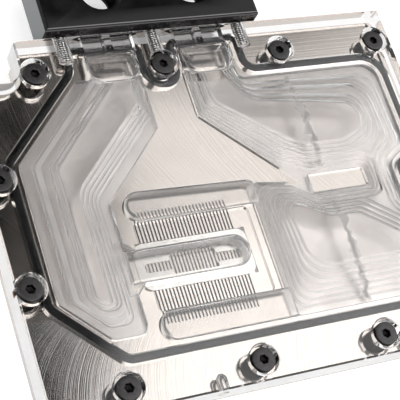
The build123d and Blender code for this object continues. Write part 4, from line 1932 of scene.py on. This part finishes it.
class ThreadTree(SetTree):
    """Tree that winds a thread inside round bores."""

    def __init__(self) -> None:
        """Build the tree."""
        super().__init__("bore_thread", dict.fromkeys(("Bore Radius", "Pitch", "Length"), "Float"))
        thread = self.thread(self.given["Bore Radius"], self.given["Length"], points=64, share=0.97)
        self.finish(thread, {})


@dataclass
class CapScrews(SubAssembly):
    """A set of M4 cap screws."""

    tree: ScrewTree
    name: str
    node: str
    places: list[Vector]
    head_height: float
    socket: float
    length: float
    facing: float = 0.0
    head_radius: float = 3.5
    head_lead: float = 0.25
    round: float = 0.35
    socket_depth: float = 1.7
    socket_lead: Pair = (0.22, 0.14)
    socket_rim: float = 0.5
    drill: Pair = (0.2, 0.5)
    thread_radius: float = 2.0
    pitch: float = 0.7
    turn: float = 1.0
    sharp: float = 34.0

    def head(self) -> bpy.types.Object:
        """Make one head with its hexagon socket."""
        top, radius, lead = self.head_height, self.head_radius, self.head_lead
        rings = [circle_ring(self.thread_radius, 0.0), circle_ring(radius - lead, 0.0),
                 circle_ring(radius, lead)]
        rings += [circle_ring(radius - self.round * (1 - across), top - self.round * (1 - up))
                  for across, up in quarter(4)]
        rim = self.socket / 2 / math.cos(math.pi / 6) + self.socket_rim
        foot = top - self.socket_depth
        rings += [circle_ring(rim, top), hexagon_ring(self.socket + self.socket_lead[0], top),
                  hexagon_ring(self.socket, top - self.socket_lead[1]), hexagon_ring(self.socket, foot),
                  circle_ring(self.drill[0], foot - self.drill[1])]
        piece = loft("head", rings)
        soften(piece, self.sharp)
        return piece

    def build(self) -> None:
        """Set the screws on their seats."""
        head = self.head()
        facing = Matrix.Rotation(self.facing, 4, "X")
        back = facing.inverted()
        piece = self.tree.run(self.name, [back @ (place * MM) for place in self.places], {
            "Head": head, "Thread Radius": self.thread_radius * MM, "Pitch": self.pitch * MM,
            "Length": self.length * MM, "Turn": self.turn,
            "Finish": self.wardrobe.get(Finish.BLACK_OXIDE)})
        piece.data.transform(facing)
        discard(head)
        dress(piece, "black_screw", self.node)


@dataclass
class Terminal(SubAssembly):
    """Black terminal with two threaded through ports and its inner passages."""

    length: float = 70.4
    depth: float = 25.0
    height: float = 12.0
    chamfer: float = 0.8
    corner: float = 0.3
    edge: Pair = (0.12, 0.2)
    port_radius: float = 6.58
    lead: float = 0.6
    passage: float = 7.8
    head_bore: float = 3.65
    shank_bore: float = 2.2
    seal_half: Pair = (9.5, 2.6)
    seal_corner: float = 2.2
    seal_width: float = 0.9
    seal_depth: float = 1.2
    pitch: float = 1.337
    spare: float = 0.9
    port_sides: int = 72
    sharp: float = 30.0

    def block(self) -> bpy.types.Object:
        """Make the block without its holes."""
        space, half = self.space, self.length / 2
        shape = rectangle(space.centre_x - half, space.back + space.air, space.centre_x + half,
                          space.back + self.depth, self.corner)
        low, high, chamfer = space.plate_face, space.plate_face + self.height, self.chamfer
        return loft("terminal", [
            shape.ring(low, chamfer), shape.ring(low + chamfer), shape.ring(high - chamfer),
            shape.ring(high - self.edge[0], chamfer - self.edge[1]), shape.ring(high, chamfer)])

    def seal_groove(self, name: str, x: float) -> bpy.types.Object:
        """Make the cutter of the groove round the windows of a port.

        Args:
            name: Its name.
            x: The port's place along X.

        Returns:
            The cutter.
        """
        middle = self.space.window_floor + self.space.window_height / 2
        half_x, half_z = self.seal_half
        line = rectangle(x - half_x, middle - half_z, x + half_x, middle + half_z, self.seal_corner)
        section = ((-1, -1), (1, -1), (1, 1), (-1, 1))
        rings = [line.ring(OVER if out > 0 else -self.seal_depth, side * self.seal_width)
                 for out, side in section]
        return moved(loft(name, rings, closed=True), 0.0, self.space.back, 0.0, QUARTER)

    def cutters(self) -> list[bpy.types.Object]:
        """Make the cutters of the ports, passages, seal grooves and screw holes."""
        space = self.space
        low, high = space.plate_face - OVER, space.plate_face + self.height
        wide = self.port_radius + self.lead
        profile = ((self.port_radius, low), (self.port_radius, high - self.lead), (wide, high),
                   (wide, high + OVER))
        cutters = []
        for number, (x, _) in enumerate(space.ports()):
            cutters.append(moved(turned(f"port_{number}", profile, self.port_sides), x, space.port_y, 0.0))
            cutters.append(self.seal_groove(f"port_groove_{number}", x))
        cutters += space.window_cutters("passage", space.back - OVER, space.back + self.passage)
        profile = ((self.shank_bore, space.back - OVER), (self.shank_bore, space.terminal_seat),
                   (self.head_bore, space.terminal_seat), (self.head_bore, space.back + self.depth + OVER))
        for number, x in enumerate(space.terminal_screws()):
            bore = turned(f"head_bore_{number}", profile)
            cutters.append(moved(bore, x, 0.0, space.terminal_screw_z, -QUARTER))
        return cutters

    def build(self) -> None:
        """Make the block and cut its holes."""
        piece = self.block()
        carve(piece, self.cutters())
        piece.data.materials.clear()
        piece.data.materials.append(self.wardrobe.get(Finish.TERMINAL))
        soften(piece, self.sharp)
        dress(piece, "terminal", "terminal_body")

    def wind(self) -> None:
        """Wind the threads of both ports."""
        start = self.space.plate_face + self.spare
        points = [Vector((x, self.space.port_y, start)) * MM for x, _ in self.space.ports()]
        piece = ThreadTree().run("port_threads", points, {
            "Bore Radius": self.port_radius * MM, "Pitch": self.pitch * MM,
            "Length": (self.height - 2 * self.spare) * MM, "Finish": self.wardrobe.get(Finish.TERMINAL)})
        dress(piece, "terminal")


@dataclass
class PhotoCamera:
    """Camera of the photograph, in metres."""

    place: tuple[float, float, float] = (-0.15987, -0.11546, 0.33282)
    right: tuple[float, float, float] = (0.892, -0.2999, 0.3382)
    down: tuple[float, float, float] = (-0.1338, -0.8898, -0.4362)
    ahead: tuple[float, float, float] = (0.4318, 0.3439, -0.8339)
    lens: float = 120.06

    def build(self) -> None:
        """Place the camera and make it the scene's own."""
        data = bpy.data.cameras.new("photo_camera")
        data.lens = self.lens
        data.sensor_width = 36.0
        data.clip_start = 0.01
        camera = bpy.data.objects.new("photo_camera", data)
        bpy.context.scene.collection.objects.link(camera)
        turn = Matrix((Vector(self.right), -Vector(self.down), -Vector(self.ahead))).transposed()
        camera.matrix_world = Matrix.Translation(Vector(self.place)) @ turn.to_4x4()
        bpy.context.scene.camera = camera


@dataclass(frozen=True)
class Patch:
    """Round patch of light or dark on the sky, with the cosines at its outer and inner edge."""

    direction: tuple[float, float, float]
    edges: Pair
    strength: float

    def lay(self, graph: Graph, view: Term, base: Any) -> Term:
        """Lay the patch on the sky.

        Args:
            graph: The world's graph.
            view: Direction that is looked up.
            base: Strength around the patch.

        Returns:
            The strength with the patch.
        """
        middle = tuple(Vector(self.direction).normalized())
        share = graph.term("ShaderNodeVectorMath", {0: view, 1: middle}, "Value",
                           operation="DOT_PRODUCT").spread(*self.edges)
        return share * self.strength + (1.0 - share) * base


@dataclass
class Studio:
    """Soft light all round with a softbox, three dark patches, and a pale paper floor."""

    wardrobe: Wardrobe
    floor_z: float = -0.0026
    floor_half: float = 1.5
    surround: float = 1.38
    patches: tuple[Patch, ...] = (
        Patch((0.45, -0.22, 0.866), (0.845, 0.875), 2.0),
        Patch((-0.02, 0.40, 0.9163), (0.912, 0.927), 0.03),
        Patch((0.36, 0.80, 0.48), (0.86, 0.90), 0.05),
        Patch((-0.36, -0.40, 0.84), (0.975, 0.985), 0.12),
    )

    def build(self) -> None:
        """Set the world, which the camera sees as white, and lay the floor."""
        world = bpy.data.worlds.new("studio")
        world.use_nodes = True
        scene = bpy.context.scene
        scene.world = world
        scene.view_settings.view_transform = "Standard"
        graph = Graph(world.node_tree)
        view = graph.term("ShaderNodeTexCoord", output="Generated")
        light: Any = self.surround
        for patch in self.patches:
            light = patch.lay(graph, view, light)
        seen = graph.term("ShaderNodeLightPath", output="Is Camera Ray")
        strength = seen + light * (1.0 - seen)
        glow = graph.term("ShaderNodeBackground", {"Color": (1.0, 1.0, 1.0, 1.0), "Strength": strength})
        graph.add("ShaderNodeOutputWorld", {"Surface": glow})
        mesh_data = bmesh.new()
        half = self.floor_half
        corners = ((-half, -half), (half, -half), (half, half), (-half, half))
        mesh_data.faces.new([mesh_data.verts.new((x, y, self.floor_z)) for x, y in corners])
        floor = finish_mesh("paper_floor", mesh_data)
        floor.data.materials.append(self.wardrobe.get(Finish.PAPER))


def main() -> None:
    """Build the block's pieces in order."""
    logging.basicConfig(level=logging.INFO, format="%(name)s %(message)s")
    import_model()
    wardrobe = Wardrobe()
    wardrobe.fill()
    PhotoCamera().build()
    Studio(wardrobe).build()
    for finish, nodes in {
        Finish.NICKEL: ("cold_plate",),
        Finish.JET_STEEL: ("jet_plate",),
        Finish.SEAL: ("left_port_seal", "right_port_seal"),
        Finish.PLATED_BRASS: ("core_standoffs", "board_standoffs"),
    }.items():
        for node in nodes:
            repaint(node, wardrobe.get(finish))
    space = Envelope()
    seal = SealRun(space, wardrobe)
    seal.build()
    ClearTop(space, wardrobe, seal).build()
    tree = ScrewTree()
    seats = [Vector((x, y, space.cover_screw_seat)) for x, y in space.cover_screws()]
    CapScrews(space, wardrobe, tree, "cover_screw_set", "cover_screws", seats,
              head_height=2.78, socket=2.5, length=8.0).build()
    seats = [Vector((x, space.terminal_seat, space.terminal_screw_z)) for x in space.terminal_screws()]
    CapScrews(space, wardrobe, tree, "terminal_screw_set", "terminal_screws", seats,
              head_height=4.0, socket=3.0, length=25.0, facing=-QUARTER).build()
    terminal = Terminal(space, wardrobe)
    terminal.build()
    terminal.wind()


if __name__ == "__main__":
    main()
